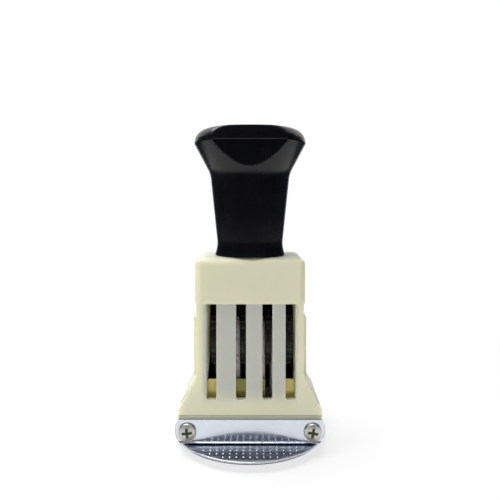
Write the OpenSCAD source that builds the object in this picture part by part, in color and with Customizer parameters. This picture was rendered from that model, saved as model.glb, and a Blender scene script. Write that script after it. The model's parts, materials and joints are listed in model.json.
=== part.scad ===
// Hand date stamp with a round plate: a moulded case stands on a sheet bracket,
// and four type bands run from thumb wheels in the case down through the plate's window.
// Millimetres, +Z up. The type faces touch Z = 0 and the plate's centre is on the Z axis.

/* [Plate] */
// Diameter of the round stamp plate
plate_d = 50; // [48:1:64]
// Thickness of the plate
plate_t = 0.8; // [0.6:0.1:1.2]
// How far the type stands out below the plate, the thickness of a rubber die
type_proud = 2.5; // [1.8:0.1:3]
// Corner radius of the date window
window_r = 1.5; // [0.8:0.1:2]
// Room between the platen and the window's short ends
window_gap = 0.5; // [0.3:0.1:1]
// Room between the type and the window's long edges
type_gap = 0.6; // [0.4:0.1:1]
// Rivet spacing across the plate, left to right
rivet_span_x = 28.8; // [26:0.2:31]
// Rivet spacing across the plate, front to back
rivet_span_y = 21.6; // [20:0.2:22]
// Diameter of a rivet's shank
rivet_d = 1.6; // [1.2:0.1:1.8]

/* [Bracket] */
// Width of the bracket, left to right
bracket_w = 44; // [40:1:54]
// Depth of the bracket over its two flanges
bracket_d = 31; // [29:0.5:38]
// Thickness of the bracket's sheet
sheet_t = 0.8; // [0.6:0.1:1]
// Outer radius of the bracket's bends
bend_r = 1.8; // [1.4:0.1:2.4]
// Radius of the bracket's lower end corners
corner_r = 2.6; // [1.8:0.1:3.2]
// Height of the flanges above the plate
flange_h = 8; // [7:0.5:9]
// Spacing of the two screws in one flange
screw_span = 38.2; // [36:0.2:39]
// Height of the screws above the plate
screw_rise = 4.3; // [3.8:0.1:4.6]

/* [Case] */
// Width of the case above its foot
body_w = 33; // [32.6:0.2:40]
// Depth of the case above its foot
body_d = 22.4; // [21:0.2:27]
// Thickness of the case's walls
wall = 1.8; // [1.4:0.1:2.2]
// Height of the foot that the bracket grips
foot_h = 10; // [9:0.5:12]
// Rise of the sloped sides above the foot
flare_h = 10.4; // [8:0.2:12]
// Height of the plain block at the top of the case
block_h = 14; // [12:0.5:16]
// How far that block stands out from the walls below it
block_proud = 0.5; // [0.3:0.1:1]
// Height of the case's top above the type
case_top = 60.5; // [58:0.5:66]
// Radius of the block's rounded edges
edge_r = 2.2; // [0.8:0.1:2.4]
// Width of a finger slot
slot_w = 3.1; // [2.6:0.1:3.2]
// Spacing of the finger slots
slot_pitch = 8.1; // [7.8:0.1:8.3]
// How far the two middle slots stand to the right of an even spacing
slot_shift = 1; // [0:0.1:1.2]
// How far the row of slots lies off the case's middle
slot_offset = 0.3; // [0:0.1:0.4]
// Height of the slots' lower ends above the type
slot_low = 17.1; // [16.5:0.1:19]
// Width of the raised panel on each side, front to back
panel_d = 11; // [8:0.5:14]
// Depth of the small pocket in each sloped side, near the front
pocket_depth = 2; // [1:0.1:2.4]
// How far the side panels stand out
panel_proud = 1.4; // [0.6:0.1:1.4]
// Height of the side panels' upper ends above the type
panel_top = 41.8; // [34:0.2:44]

/* [Handle] */
// Height of the handle
handle_h = 41.2; // [38:0.2:56]
// Radius of the handle's head at its sharp edge
head_r = 18.2; // [16:0.2:22]
// Height of the head's crown above that edge
crown_h = 5; // [5:0.2:8]
// Radius of the neck at its narrow lower end
neck_r = 10.7; // [9.5:0.1:12]
// Radius of the neck where the head begins to spread
neck_top_r = 13; // [11.5:0.1:14]
// Distance of the flat thumb face from the handle's axis
thumb_face = 14; // [13.4:0.1:15.5]
// How far the thumb face leans back over the crown
thumb_lean = 0.8; // [0.4:0.1:1.4]
// Diameter of the bolt that holds the handle
bolt_d = 5; // [4:0.5:6]

/* [Type bands] */
// Width of the year band
year_band_w = 7.2; // [6:0.1:8]
// Width of the month band
month_band_w = 6; // [5:0.1:7]
// Width of each of the two day bands
day_band_w = 2.2; // [2:0.1:2.4]
// How far the wheels and bands stand to the right of the case's middle
stack_shift = 0.5; // [0:0.1:0.5]
// Thickness of a band without its type
band_t = 1; // [0.8:0.1:1.2]
// Height of the raised type above its band
type_relief = 0.8; // [0.5:0.1:1]
// Height of a character
type_size = 3.2; // [2.6:0.1:4]
// Number of type positions round a band
type_count = 12; // [10:1:12]

/* [Wheels and platen] */
// Radius of the platen that the bands turn round at the plate
platen_r = 4.15; // [3.8:0.05:4.4]
// Radius of a thumb wheel
wheel_r = 9.1; // [7.5:0.1:9.2]
// Thickness of a thumb wheel's rim
wheel_t = 1.7; // [1.2:0.1:1.8]
// Number of notches round a thumb wheel
wheel_notches = 24; // [16:1:30]
// Diameter of the axle
axle_d = 2.5; // [2:0.1:3]
// Height of the axle above the type
axle_z = 34; // [33:0.5:40]
// Thickness of the band frame's sheet
frame_t = 0.8; // [0.6:0.1:1]

/* [Fasteners] */
// Diameter of the bracket screws
screw_d = 3; // [2.5:0.1:3.5]
// Diameter of the bracket screws' heads
screw_head_d = 5.5; // [5:0.1:6]
// Length of the bracket screws under the head
screw_l = 8; // [6:0.5:9]

/* [Clearances] */
// Gap between a wheel's drum and its band
drum_gap = 0.15; // [0.1:0.01:0.2]
// Gap beside a band or a wheel
side_gap = 0.15; // [0.1:0.01:0.25]
// Radial gap of a wheel on the axle
axle_gap = 0.05; // [0.03:0.01:0.08]
// Gap of pieces that sit on one another
seat_gap = 0.05; // [0.02:0.01:0.1]

/* [Hidden] */
$fn = 64;
ARC_STEPS = 8;
EPS = 0.5;

// Heights of the stacked sheets
plate_top = type_proud + plate_t;
web_top = plate_top + sheet_t;
foot_top = web_top + foot_h;
flare_top = foot_top + flare_h;
block_low = case_top - block_h;
screw_z = plate_top + screw_rise;
flange_top = plate_top + flange_h;

// Case faces, front to back: its front is flush behind the front flange
foot_half_d = bracket_d / 2 - sheet_t;
foot_half_w = bracket_w / 2;
foot_wall = wall + 0.4;
body_front = -foot_half_d;
body_back = body_front + body_d;
body_y = (body_front + body_back) / 2;
body_half_w = body_w / 2;
block_front = body_front - block_proud;
block_back = body_back + block_proud;
block_half_w = body_half_w + block_proud;
cavity_half_w = body_half_w - wall;
cavity_front = body_front + wall;
cavity_back = body_back - wall;
cavity_top = case_top - 3;
foot_ceiling = foot_top - 2.45;
slot_r = 0.7;
slot_xs = [for (i = [-1.5:1.5]) i * slot_pitch + slot_offset + (abs(i) < 1 ? slot_shift : 0)];

// Bands: a loop round the platen and a wheel's drum, leaning back to the case's middle
loop_r = platen_r + seat_gap + band_t;
platen_z = type_relief + loop_r;
axle_y = body_y;
loop_l = norm([axle_y, axle_z - platen_z]);
loop_lean = atan2(-axle_y, axle_z - platen_z);
loop_path = 2 * loop_l + 2 * PI * loop_r;
drum_r = loop_r - band_t - drum_gap;
type_reach = norm([loop_r + type_relief, type_size / 2]);

// Places along the axle, left to right: wheel, band, wheel, band, wheel, two bands, wheel
stack_w = 4 * wheel_t + year_band_w + month_band_w + 2 * day_band_w + 8 * side_gap;
year_wheel_x = stack_shift - stack_w / 2;
year_band_x = year_wheel_x + wheel_t + side_gap;
month_wheel_x = year_band_x + year_band_w + side_gap;
month_band_x = month_wheel_x + wheel_t + side_gap;
tens_wheel_x = month_band_x + month_band_w + side_gap;
tens_band_x = tens_wheel_x + wheel_t + side_gap;
units_band_x = tens_band_x + day_band_w + 2 * side_gap;
units_wheel_x = units_band_x + day_band_w + side_gap;
cheek_in = stack_w / 2 + stack_shift + 2 * side_gap;
cheek_out = cheek_in + frame_t;

// Window and the wider opening in the bracket above it
window_w = 2 * (cheek_in + window_gap);
plate_dip = platen_z - plate_top;
window_d = 2 * (sqrt(pow(type_reach, 2) - pow(plate_dip, 2)) + type_gap);
opening_w = 2 * (cheek_out + window_gap);
opening_d = 2 * (type_reach + 0.4);

// Band frame: it stands on the bracket and sits against the front shell's rib
rib_d = 1.8;
frame_front = cavity_front + rib_d + seat_gap;
frame_back = type_reach + 1 + frame_t;
frame_foot = opening_d / 2 + 2;
strap_low = web_top + 8;
strap_top = slot_low + 5.2;
frame_step = foot_ceiling - seat_gap;
frame_head = axle_d / 2 + 2.8;

// Fasteners
boss_r = screw_d / 2 + 1.3;
screw_x = screw_span / 2;
head_h = screw_head_d * 0.36;
clip_t = 0.5;
axle_end = cheek_out + clip_t + 0.1;
pin_d = 2;
pin_l = 5;
shell_screw_d = 2.5;
shell_screw_head_d = 5;
shell_screw_head_h = 1.8;
shell_screw_x = cavity_half_w - 1.4;
shell_screw_z = case_top - 6.6;
insert_r = bolt_d / 2 + 1.6;
insert_l = 18;
washer_t = 1;
washer_r = bolt_d + 0.5;
bolt_head_h = 3.2;
bolt_l = 26;

// Points of an arc about c, as a list
function arc(c, r, from, to) =
    [for (i = [0:ARC_STEPS]) let (a = from + (to - from) * i / ARC_STEPS) c + r * [cos(a), sin(a)]];

// Outline of a rectangle with rounded corners
function round_rect(low, high, r) = concat(
    arc([high.x - r, low.y + r], r, -90, 0), arc([high.x - r, high.y - r], r, 0, 90),
    arc([low.x + r, high.y - r], r, 90, 180), arc([low.x + r, low.y + r], r, 180, 270));

// Outline of a stadium: two half rounds of radius r, the second one l above the first
function stadium(r, l) = concat(
    [for (i = [0:24]) r * [cos(180 + 7.5 * i), sin(180 + 7.5 * i)]],
    [for (i = [0:24]) [0, l] + r * [cos(7.5 * i), sin(7.5 * i)]]);

// Place and outward angle on that stadium, s along it from its lowest point: [y, z, angle]
function loop_at(s, r, l) =
    let (q = PI * r / 2, t = s < 0 ? s + 2 * l + 4 * q : s)
    t < q ? loop_arc(0, r, -90 + 90 * t / q)
    : t < q + l ? [r, t - q, 0]
    : t < 3 * q + l ? loop_arc(l, r, 90 * (t - q - l) / q)
    : t < 3 * q + 2 * l ? [-r, 3 * q + 2 * l - t, 180]
    : loop_arc(0, r, 180 + 90 * (t - 3 * q - 2 * l) / q);
function loop_arc(z, r, a) = [r * cos(a), z + r * sin(a), a];

// Outline of a notched wheel rim
function notched(r, count, depth) = [
    for (i = [0:count - 1], p = [[0, -0.28], [0, 0.28], [1, 0.4], [1, 0.6]])
    (r - depth * p[0]) * [cos((i + p[1]) * 360 / count), sin((i + p[1]) * 360 / count)]];

// A (y, z) outline carried along X, an (x, z) outline along Y, and an (x, y) outline along Z
module along_x(from, to) {
    translate([from, 0, 0]) rotate([90, 0, 90]) linear_extrude(to - from) children();
}
module along_y(from, to) {
    translate([0, to, 0]) rotate([90, 0, 0]) linear_extrude(to - from) children();
}
module along_z(from, to) {
    translate([0, 0, from]) linear_extrude(to - from) children();
}

// A box from one corner to the opposite one
module box(low, high) { translate(low) cube(high - low); }

// Both signs of X, and all four signs of X and Y
module both_sides() { for (side = [-1, 1]) scale_x(side) children(); }
module scale_x(side) { if (side > 0) children(); else mirror([1, 0, 0]) children(); }
module scale_y(side) { if (side > 0) children(); else mirror([0, 1, 0]) children(); }
module four_corners() { both_sides() for (side = [-1, 1]) scale_y(side) children(); }

// A round bar along X about the axle or the platen's axis
module rod_x(r, from, to, y, z) {
    translate([from, y, z]) rotate([0, 90, 0]) cylinder(r = r, h = to - from);
}

module stamp_plate() {
    color([0.80, 0.82, 0.86]) difference() {
        translate([0, 0, type_proud]) cylinder(d = plate_d, h = plate_t, $fn = 128);
        along_z(type_proud - EPS, plate_top + EPS)
            polygon(round_rect([-window_w, -window_d] / 2, [window_w, window_d] / 2, window_r));
        rivet_shanks(rivet_d / 2 + seat_gap / 2, type_proud - EPS, plate_top + EPS);
    }
}

module rivet_shanks(r, low, high) {
    four_corners() translate([rivet_span_x / 2, rivet_span_y / 2, low]) cylinder(r = r, h = high - low);
}

module plate_rivets() {
    color([0.72, 0.74, 0.78]) {
        rivet_shanks(rivet_d / 2, type_proud, web_top + seat_gap / 2);
        rivet_shanks(rivet_d / 2 + 0.4, web_top, web_top + 0.6);
    }
}

// Sheet channel with two upright flanges
module bracket() {
    half = bracket_d / 2;
    corner = [half - bend_r, plate_top + bend_r];
    inner_r = bend_r - sheet_t;
    outline = concat(
        [[-half, flange_top]], arc([-corner.x, corner.y], bend_r, 180, 270), arc(corner, bend_r, 270, 360),
        [[half, flange_top], [half - sheet_t, flange_top]],
        arc(corner, inner_r, 360, 270), arc([-corner.x, corner.y], inner_r, 270, 180),
        [[sheet_t - half, flange_top]]);
    color([0.78, 0.80, 0.84]) difference() {
        intersection() {
            along_x(-bracket_w / 2, bracket_w / 2) polygon(outline);
            along_y(-bracket_d, bracket_d) polygon(concat(
                [[foot_half_w, flange_top + EPS], [-foot_half_w, flange_top + EPS]],
                arc([corner_r - foot_half_w, plate_top + corner_r], corner_r, 180, 270),
                arc([foot_half_w - corner_r, plate_top + corner_r], corner_r, 270, 360)));
        }
        along_z(plate_top - EPS, web_top + EPS)
            polygon(round_rect([-opening_w, -opening_d] / 2, [opening_w, opening_d] / 2, window_r));
        rivet_shanks(rivet_d / 2 + seat_gap / 2, plate_top - EPS, web_top + EPS);
        screw_bores(screw_d / 2 + 0.1);
    }
}

// The four places where a screw goes through a flange into the foot
module screw_places() {
    four_corners() translate([screw_x, -bracket_d / 2, screw_z]) rotate([-90, 0, 0]) children();
}
module screw_bores(r) { screw_places() translate([0, 0, -EPS]) cylinder(r = r, h = screw_l + 2 * EPS); }

// Domed cross-head screws, two in each flange
module bracket_screws() {
    dome_r = screw_head_d * 0.75;
    color([0.75, 0.75, 0.72]) screw_places() {
        cylinder(d = screw_d, h = screw_l);
        difference() {
            intersection() {
                translate([0, 0, -head_h]) cylinder(d = screw_head_d, h = head_h);
                translate([0, 0, dome_r - head_h]) sphere(dome_r);
            }
            for (turn = [45, 135]) rotate(turn)
                box([-screw_head_d * 0.3, -0.4, -head_h - EPS], [screw_head_d * 0.3, 0.4, -head_h * 0.45]);
        }
    }
}

// Outside of the whole case, before it is hollowed and parted
module case_outside() {
    flare_x = body_half_w;
    along_y(body_front, body_back) polygon([
        [-foot_half_w, web_top + bend_r], [foot_half_w, web_top + bend_r], [foot_half_w, foot_top],
        [flare_x, flare_top], [flare_x, block_low + edge_r], [-flare_x, block_low + edge_r], [-flare_x, flare_top],
        [-foot_half_w, foot_top]]);
    along_x(-foot_half_w, foot_half_w) polygon(concat(
        [[body_front + bend_r, web_top], [foot_half_d - bend_r, web_top], [foot_half_d, web_top + bend_r]],
        arc([foot_half_d - 1, foot_top - 1], 1, 0, 90),
        [[body_front, foot_top], [body_front, web_top + bend_r]]));
    intersection() {
        along_y(block_front - EPS, block_back + EPS)
            polygon(round_top([-block_half_w, block_low], [block_half_w, case_top], edge_r));
        along_x(-block_half_w - EPS, block_half_w + EPS)
            polygon(round_top([block_front, block_low], [block_back, case_top], edge_r));
        along_z(block_low - EPS, case_top + EPS)
            polygon(round_rect([-block_half_w, block_front], [block_half_w, block_back], edge_r));
    }
    band_room(wall, body_half_w - EPS);
    panel_half_w = body_half_w + panel_proud;
    along_y(body_y - panel_d / 2, body_y + panel_d / 2)
        polygon(concat([[-panel_half_w, foot_top], [panel_half_w, foot_top]],
            arc([panel_half_w - edge_r / 2, panel_top - edge_r / 2], edge_r / 2, 0, 90),
            arc([edge_r / 2 - panel_half_w, panel_top - edge_r / 2], edge_r / 2, 90, 180)));
}

// Outline of a rectangle with its upper corners rounded
function round_top(low, high, r) = concat(
    [low, [high.x, low.y]], arc([high.x - r, high.y - r], r, 0, 90), arc([low.x + r, high.y - r], r, 90, 180));

// Room behind the bands' back run; where a deep bracket leans them out of the body, the wall follows it
module band_room(grow, half_w) {
    intersection() {
        translate([0, 0, platen_z]) rotate([loop_lean, 0, 0])
            along_x(-half_w, half_w) polygon(stadium(type_reach + 0.25 + grow, loop_l));
        box([-plate_d, body_y, foot_ceiling - 1], [plate_d, plate_d, block_low]);
    }
}

// Hollow of the case, with its slots and holes
module case_inside() {
    band_room(0, cavity_half_w - EPS);
    box([-foot_half_w + foot_wall, -foot_half_d + foot_wall, web_top - EPS],
        [foot_half_w - foot_wall, foot_half_d - foot_wall, foot_ceiling]);
    box([-cavity_half_w, cavity_front, web_top - EPS], [cavity_half_w, cavity_back, cavity_top]);
    for (x = slot_xs) {
        along_y(body_front - 2 * EPS, cavity_front + EPS)
            polygon(round_rect([x - slot_w / 2, slot_low], [x + slot_w / 2, block_low], slot_r));
        box([x - slot_w / 2, body_front - 2 * EPS, block_low - 2 * slot_r],
            [x + slot_w / 2, cavity_front + EPS, block_low]);
    }
    both_sides() along_x(foot_half_w - pocket_depth - flare_h / 4, foot_half_w + EPS)
        polygon([[body_front + 1, foot_top + 1.2], [body_front + 2.7, foot_top + 1.2],
                 [body_front + 1.9, foot_top + 1.2 + flare_h / 2]]);
    translate([0, body_y, cavity_top - EPS])
        cylinder(d = bolt_d + 0.4, h = case_top - cavity_top + 2 * EPS);
    rod_x(axle_d + 2 * side_gap, -axle_end - seat_gap, axle_end + seat_gap, axle_y, axle_z);
}

// Guides in front of the frame's cheeks, from the outer slots' edges back to the end wheels' faces
module slot_guides() {
    guide_back = axle_y - frame_head - 2 * side_gap;
    strap_clear = frame_front - 2 * side_gap;
    slot_left = slot_xs[0] - slot_w / 2;
    slot_right = slot_xs[3] + slot_w / 2;
    wheel_left = year_wheel_x - 2 * side_gap;
    wheel_right = units_wheel_x + wheel_t + 2 * side_gap;
    case_x = cavity_half_w + EPS;
    intersection() {
        along_x(-case_x, case_x) polygon([
            [cavity_front - EPS, slot_low - 0.6], [strap_clear, slot_low - 0.6], [strap_clear, strap_top],
            [guide_back, axle_z - frame_head], [guide_back, block_low], [cavity_front - EPS, block_low]]);
        along_z(slot_low - 2, block_low + EPS) {
            polygon([[-case_x, cavity_front - EPS], [slot_left, cavity_front - EPS], [slot_left, cavity_front],
                     [wheel_left, guide_back + EPS], [-case_x, guide_back + EPS]]);
            polygon([[case_x, cavity_front - EPS], [slot_right, cavity_front - EPS], [slot_right, cavity_front],
                     [wheel_right, guide_back + EPS], [case_x, guide_back + EPS]]);
        }
    }
}

// Screw bosses and the rib behind the slots' lower ends
module case_bosses() {
    screw_places() translate([0, 0, sheet_t + 1]) cylinder(r = boss_r, h = screw_l - sheet_t);
    both_sides() translate([shell_screw_x, cavity_front - EPS, shell_screw_z]) rotate([-90, 0, 0])
        cylinder(r = shell_screw_d / 2 + 1.4, h = cavity_back - cavity_front + 2 * EPS);
    box([-cavity_half_w + 1, cavity_front - EPS, strap_low],
        [cavity_half_w - 1, cavity_front + rib_d, slot_low - 0.6]);
    slot_guides();
}

module shell_screw_places() {
    both_sides() translate([shell_screw_x, block_back, shell_screw_z]) rotate([90, 0, 0]) children();
}

module whole_case() {
    difference() {
        union() {
            difference() {
                case_outside();
                case_inside();
            }
            intersection() {
                case_bosses();
                case_outside();
            }
        }
        screw_bores(screw_d / 2 + seat_gap);
        shell_screw_places() {
            translate([0, 0, -EPS]) cylinder(d = shell_screw_head_d + 0.4, h = shell_screw_head_h + EPS);
            cylinder(r = shell_screw_d / 2 + seat_gap, h = block_back - cavity_front);
        }
    }
}

// The case parts in two along the handle's middle plane
module front_shell() {
    color([0.91, 0.89, 0.78]) intersection() {
        whole_case();
        box([-plate_d, -plate_d, 0], [plate_d, body_y, case_top + EPS]);
    }
}

module back_shell() {
    color([0.91, 0.89, 0.78]) intersection() {
        whole_case();
        box([-plate_d, body_y, 0], [plate_d, plate_d, case_top + EPS]);
    }
}

module shell_screws() {
    color([0.70, 0.70, 0.70]) shell_screw_places() {
        difference() {
            cylinder(d = shell_screw_head_d, h = shell_screw_head_h);
            for (turn = [0, 90]) rotate(turn) box([-1.5, -0.35, -EPS], [1.5, 0.35, 0.9]);
        }
        translate([0, 0, shell_screw_head_h]) cylinder(d = shell_screw_d, h = 14);
    }
}

// Turned knob with a flat thumb face on its front
module handle() {
    edge_z = handle_h - crown_h;
    spread_z = edge_z - 1.88 * (head_r - neck_top_r);
    lip_r = neck_r + 0.7;
    blend_r = 7;
    neck_turn = atan2(neck_top_r - neck_r, spread_z - 4);
    spread_turn = atan2(head_r - neck_top_r, edge_z - spread_z);
    blend_l = blend_r * tan((spread_turn - neck_turn) / 2);
    blend_c = [neck_top_r - blend_l * sin(neck_turn) + blend_r * cos(neck_turn),
               spread_z - blend_l * cos(neck_turn) - blend_r * sin(neck_turn)];
    shoulder_r = 4;
    outline = concat(
        [[0, 0], [lip_r, 0]], arc([neck_r + 12, 4.4], 12, 200, 180),
        arc(blend_c, blend_r, 180 - neck_turn, 180 - spread_turn),
        [[head_r, edge_z]],
        arc([head_r - 0.1 - shoulder_r, handle_h - 0.6 - shoulder_r], shoulder_r, 6, 80),
        [[0, handle_h]]);
    color([0.05, 0.05, 0.05]) translate([0, body_y, case_top]) difference() {
        rotate_extrude($fn = 128) polygon(outline);
        along_x(-2 * head_r, 2 * head_r) polygon([
            [-2 * head_r, neck_r], [-thumb_face, neck_r], [-thumb_face, edge_z],
            [thumb_lean - thumb_face, handle_h + EPS], [-2 * head_r, handle_h + EPS]]);
        translate([0, 0, -EPS]) cylinder(r = insert_r + seat_gap, h = 2 + insert_l + EPS);
        cylinder(d = bolt_d + 0.6, h = bolt_l + 2);
    }
}

module handle_insert() {
    color([0.78, 0.64, 0.32]) translate([0, body_y, case_top + 2]) difference() {
        cylinder(r = insert_r, h = insert_l);
        translate([0, 0, -EPS]) cylinder(d = bolt_d + 2 * seat_gap, h = insert_l + 2 * EPS);
    }
}

module handle_bolt() {
    head_top = cavity_top - washer_t;
    color([0.70, 0.70, 0.70]) translate([0, body_y, head_top]) {
        cylinder(d = bolt_d, h = bolt_l);
        difference() {
            translate([0, 0, -bolt_head_h]) cylinder(r = washer_r - 1, h = bolt_head_h);
            translate([0, 0, -bolt_head_h - EPS]) cylinder(d = bolt_d, h = 1.8 + EPS, $fn = 6);
        }
    }
}

module handle_washer() {
    color([0.75, 0.75, 0.75]) translate([0, body_y, cavity_top - washer_t]) difference() {
        cylinder(r = washer_r, h = washer_t);
        translate([0, 0, -EPS]) cylinder(d = bolt_d + 0.3, h = washer_t + 2 * EPS);
    }
}

// Folded yellow sheet: two cheeks for the axle and the platen, and two straps between them
module band_frame() {
    head_top = axle_z + frame_head;
    cheek = [
        [-frame_foot, web_top], [frame_back, web_top], [frame_back, frame_step],
        [cavity_back - 0.9, frame_step], [axle_y + frame_head, head_top], [axle_y - frame_head, head_top],
        [axle_y - frame_head, axle_z - frame_head],
        [frame_front, strap_top], [frame_front, strap_low]];
    color([0.76, 0.63, 0.28]) difference() {
        union() {
            both_sides() along_x(cheek_in, cheek_out) polygon(cheek);
            box([-cheek_out, frame_front, strap_low], [cheek_out, frame_front + frame_t, strap_top]);
            box([-cheek_out, frame_back - frame_t, web_top], [cheek_out, frame_back, frame_step]);
        }
        box([tens_wheel_x - side_gap, frame_front - EPS, strap_low + 2],
            [tens_wheel_x + wheel_t + side_gap, frame_front + frame_t + EPS, strap_top + EPS]);
        rod_x(axle_d / 2 + seat_gap / 2, -cheek_out - EPS, cheek_out + EPS, axle_y, axle_z);
        rod_x(pin_d / 2 + seat_gap / 2, -cheek_out - EPS, cheek_out + EPS, 0, platen_z);
    }
}

// Half-round bar that backs the type, with a plain rim beside the first and the last band
module type_platen() {
    end = cheek_in - seat_gap;
    color([0.88, 0.89, 0.90]) difference() {
        union() {
            rod_x(platen_r, -end, end, 0, platen_z);
            translate([0, 0, platen_z]) rotate([loop_lean, 0, 0])
                box([1 - end, -platen_r + 0.6, platen_r / 2], [end - 1, platen_r - 0.6, 2 * platen_r]);
            rod_x(loop_r, -end, year_band_x - side_gap, 0, platen_z);
            rod_x(loop_r, units_band_x + day_band_w + side_gap, end, 0, platen_z);
        }
        both_sides() rod_x(pin_d / 2 + seat_gap / 2, end - pin_l, end + EPS, 0, platen_z);
    }
}

module platen_pins() {
    color([0.72, 0.72, 0.72]) both_sides() rod_x(pin_d / 2, cheek_out - pin_l, axle_end, 0, platen_z);
}

module wheel_axle() { color([0.75, 0.75, 0.77]) rod_x(axle_d / 2, -axle_end, axle_end, axle_y, axle_z); }

// Open clips that keep the axle in the frame's cheeks
module axle_clips() {
    color([0.55, 0.55, 0.57]) both_sides() translate([0, axle_y, axle_z]) difference() {
        rod_x(axle_d, cheek_out, cheek_out + clip_t, 0, 0);
        rod_x(axle_d / 2 + seat_gap / 2, cheek_out - EPS, cheek_out + clip_t + EPS, 0, 0);
        box([cheek_out - EPS, -axle_d * 0.35, -axle_d - EPS], [cheek_out + clip_t + EPS, axle_d * 0.35, 0]);
    }
}

// Notched thumb wheel with the drum that carries its band
module thumb_wheel(rim_x, drum_from, drum_to) {
    color([0.07, 0.07, 0.07]) difference() {
        union() {
            translate([0, axle_y, axle_z]) along_x(rim_x, rim_x + wheel_t)
                polygon(notched(wheel_r, wheel_notches, 0.5));
            rod_x(drum_r, drum_from, drum_to, axle_y, axle_z);
        }
        rod_x(axle_d / 2 + axle_gap, -cheek_in, cheek_in, axle_y, axle_z);
    }
}

module year_wheel() { thumb_wheel(year_wheel_x, year_wheel_x, year_band_x + year_band_w - side_gap); }
module month_wheel() { thumb_wheel(month_wheel_x, month_wheel_x, month_band_x + month_band_w - side_gap); }
module day_tens_wheel() { thumb_wheel(tens_wheel_x, tens_wheel_x, tens_band_x + day_band_w); }
module day_units_wheel() { thumb_wheel(units_wheel_x, units_band_x, units_wheel_x + wheel_t); }

// Endless band with a raised block at each type position
module type_band(from, width) {
    first = -loop_r * loop_lean * PI / 180;
    margin = 0.2;
    color([0.85, 0.83, 0.80]) translate([0, 0, platen_z]) rotate([loop_lean, 0, 0]) {
        along_x(from, from + width) difference() {
            polygon(stadium(loop_r, loop_l));
            polygon(stadium(loop_r - band_t, loop_l));
        }
        for (i = [0:type_count - 1]) {
            spot = loop_at(first + i * loop_path / type_count, loop_r, loop_l);
            translate([from, spot[0], spot[1]]) rotate([spot[2], 0, 0])
                box([margin, -0.5 * band_t, -type_size / 2], [width - margin, type_relief, type_size / 2]);
        }
    }
}

module year_band() { type_band(year_band_x, year_band_w); }
module month_band() { type_band(month_band_x, month_band_w); }
module day_tens_band() { type_band(tens_band_x, day_band_w); }
module day_units_band() { type_band(units_band_x, day_band_w); }

stamp_plate();
plate_rivets();
bracket();
bracket_screws();
front_shell();
back_shell();
shell_screws();
handle();
handle_insert();
handle_bolt();
handle_washer();
band_frame();
type_platen();
platen_pins();
wheel_axle();
axle_clips();
year_wheel();
month_wheel();
day_tens_wheel();
day_units_wheel();
year_band();
month_band();
day_tens_band();
day_units_band();
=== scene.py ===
"""Round date stamp: detailed pieces, finishes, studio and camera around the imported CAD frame."""
import json
import logging
import math
from dataclasses import dataclass, field
from enum import Enum
from functools import partial, reduce
from typing import Callable, Sequence

import bmesh
import bpy
import numpy as np
from mathutils.geometry import delaunay_2d_cdt
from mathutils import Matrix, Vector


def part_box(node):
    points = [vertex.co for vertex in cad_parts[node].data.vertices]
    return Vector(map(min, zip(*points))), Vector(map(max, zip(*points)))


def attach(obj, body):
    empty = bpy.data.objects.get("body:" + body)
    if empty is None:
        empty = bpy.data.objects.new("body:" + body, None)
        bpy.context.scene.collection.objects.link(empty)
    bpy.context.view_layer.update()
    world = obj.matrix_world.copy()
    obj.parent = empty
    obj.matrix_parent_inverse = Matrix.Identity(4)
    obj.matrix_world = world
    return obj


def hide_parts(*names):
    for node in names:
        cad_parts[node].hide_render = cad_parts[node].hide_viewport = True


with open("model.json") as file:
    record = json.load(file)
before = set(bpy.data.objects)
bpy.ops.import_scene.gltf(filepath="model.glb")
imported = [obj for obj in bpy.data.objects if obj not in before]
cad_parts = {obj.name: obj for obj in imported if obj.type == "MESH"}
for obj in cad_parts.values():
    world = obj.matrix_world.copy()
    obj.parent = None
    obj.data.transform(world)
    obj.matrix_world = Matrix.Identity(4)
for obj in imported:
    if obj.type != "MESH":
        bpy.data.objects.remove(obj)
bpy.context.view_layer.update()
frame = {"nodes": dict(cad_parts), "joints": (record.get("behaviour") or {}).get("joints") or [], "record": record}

MM = 0.001
MICRON = 0.001 * MM
FINE = 0.1 * MM
NEAR = 1e-6
LOG = logging.getLogger("date_stamp")
MARK = "mark"
Colour = tuple[float, float, float]
Pair = tuple[float, float]
WHITE: Colour = (1.0, 1.0, 1.0)


class Slot(Enum):
    """Material slots of the record."""

    PLATED = "plated_steel"
    SCREW = "screw_steel"
    IVORY = "ivory_plastic"
    BLACK = "black_plastic"
    WHEEL = "wheel_plastic"
    BRASS = "frame_brass"
    PLATEN = "platen_plastic"
    RUBBER = "band_rubber"


def tone(red: int, green: int, blue: int) -> Colour:
    """Linear colour of a screen colour.

    Args:
        red: Red, 0 to 255.
        green: Green, 0 to 255.
        blue: Blue, 0 to 255.

    Returns:
        The three linear values.
    """
    code = np.array([red, green, blue]) / 255.0
    low = code / 12.92
    high = ((code + 0.055) / 1.055) ** 2.4
    return tuple(float(v) for v in np.where(code <= 0.04045, low, high))


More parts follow.
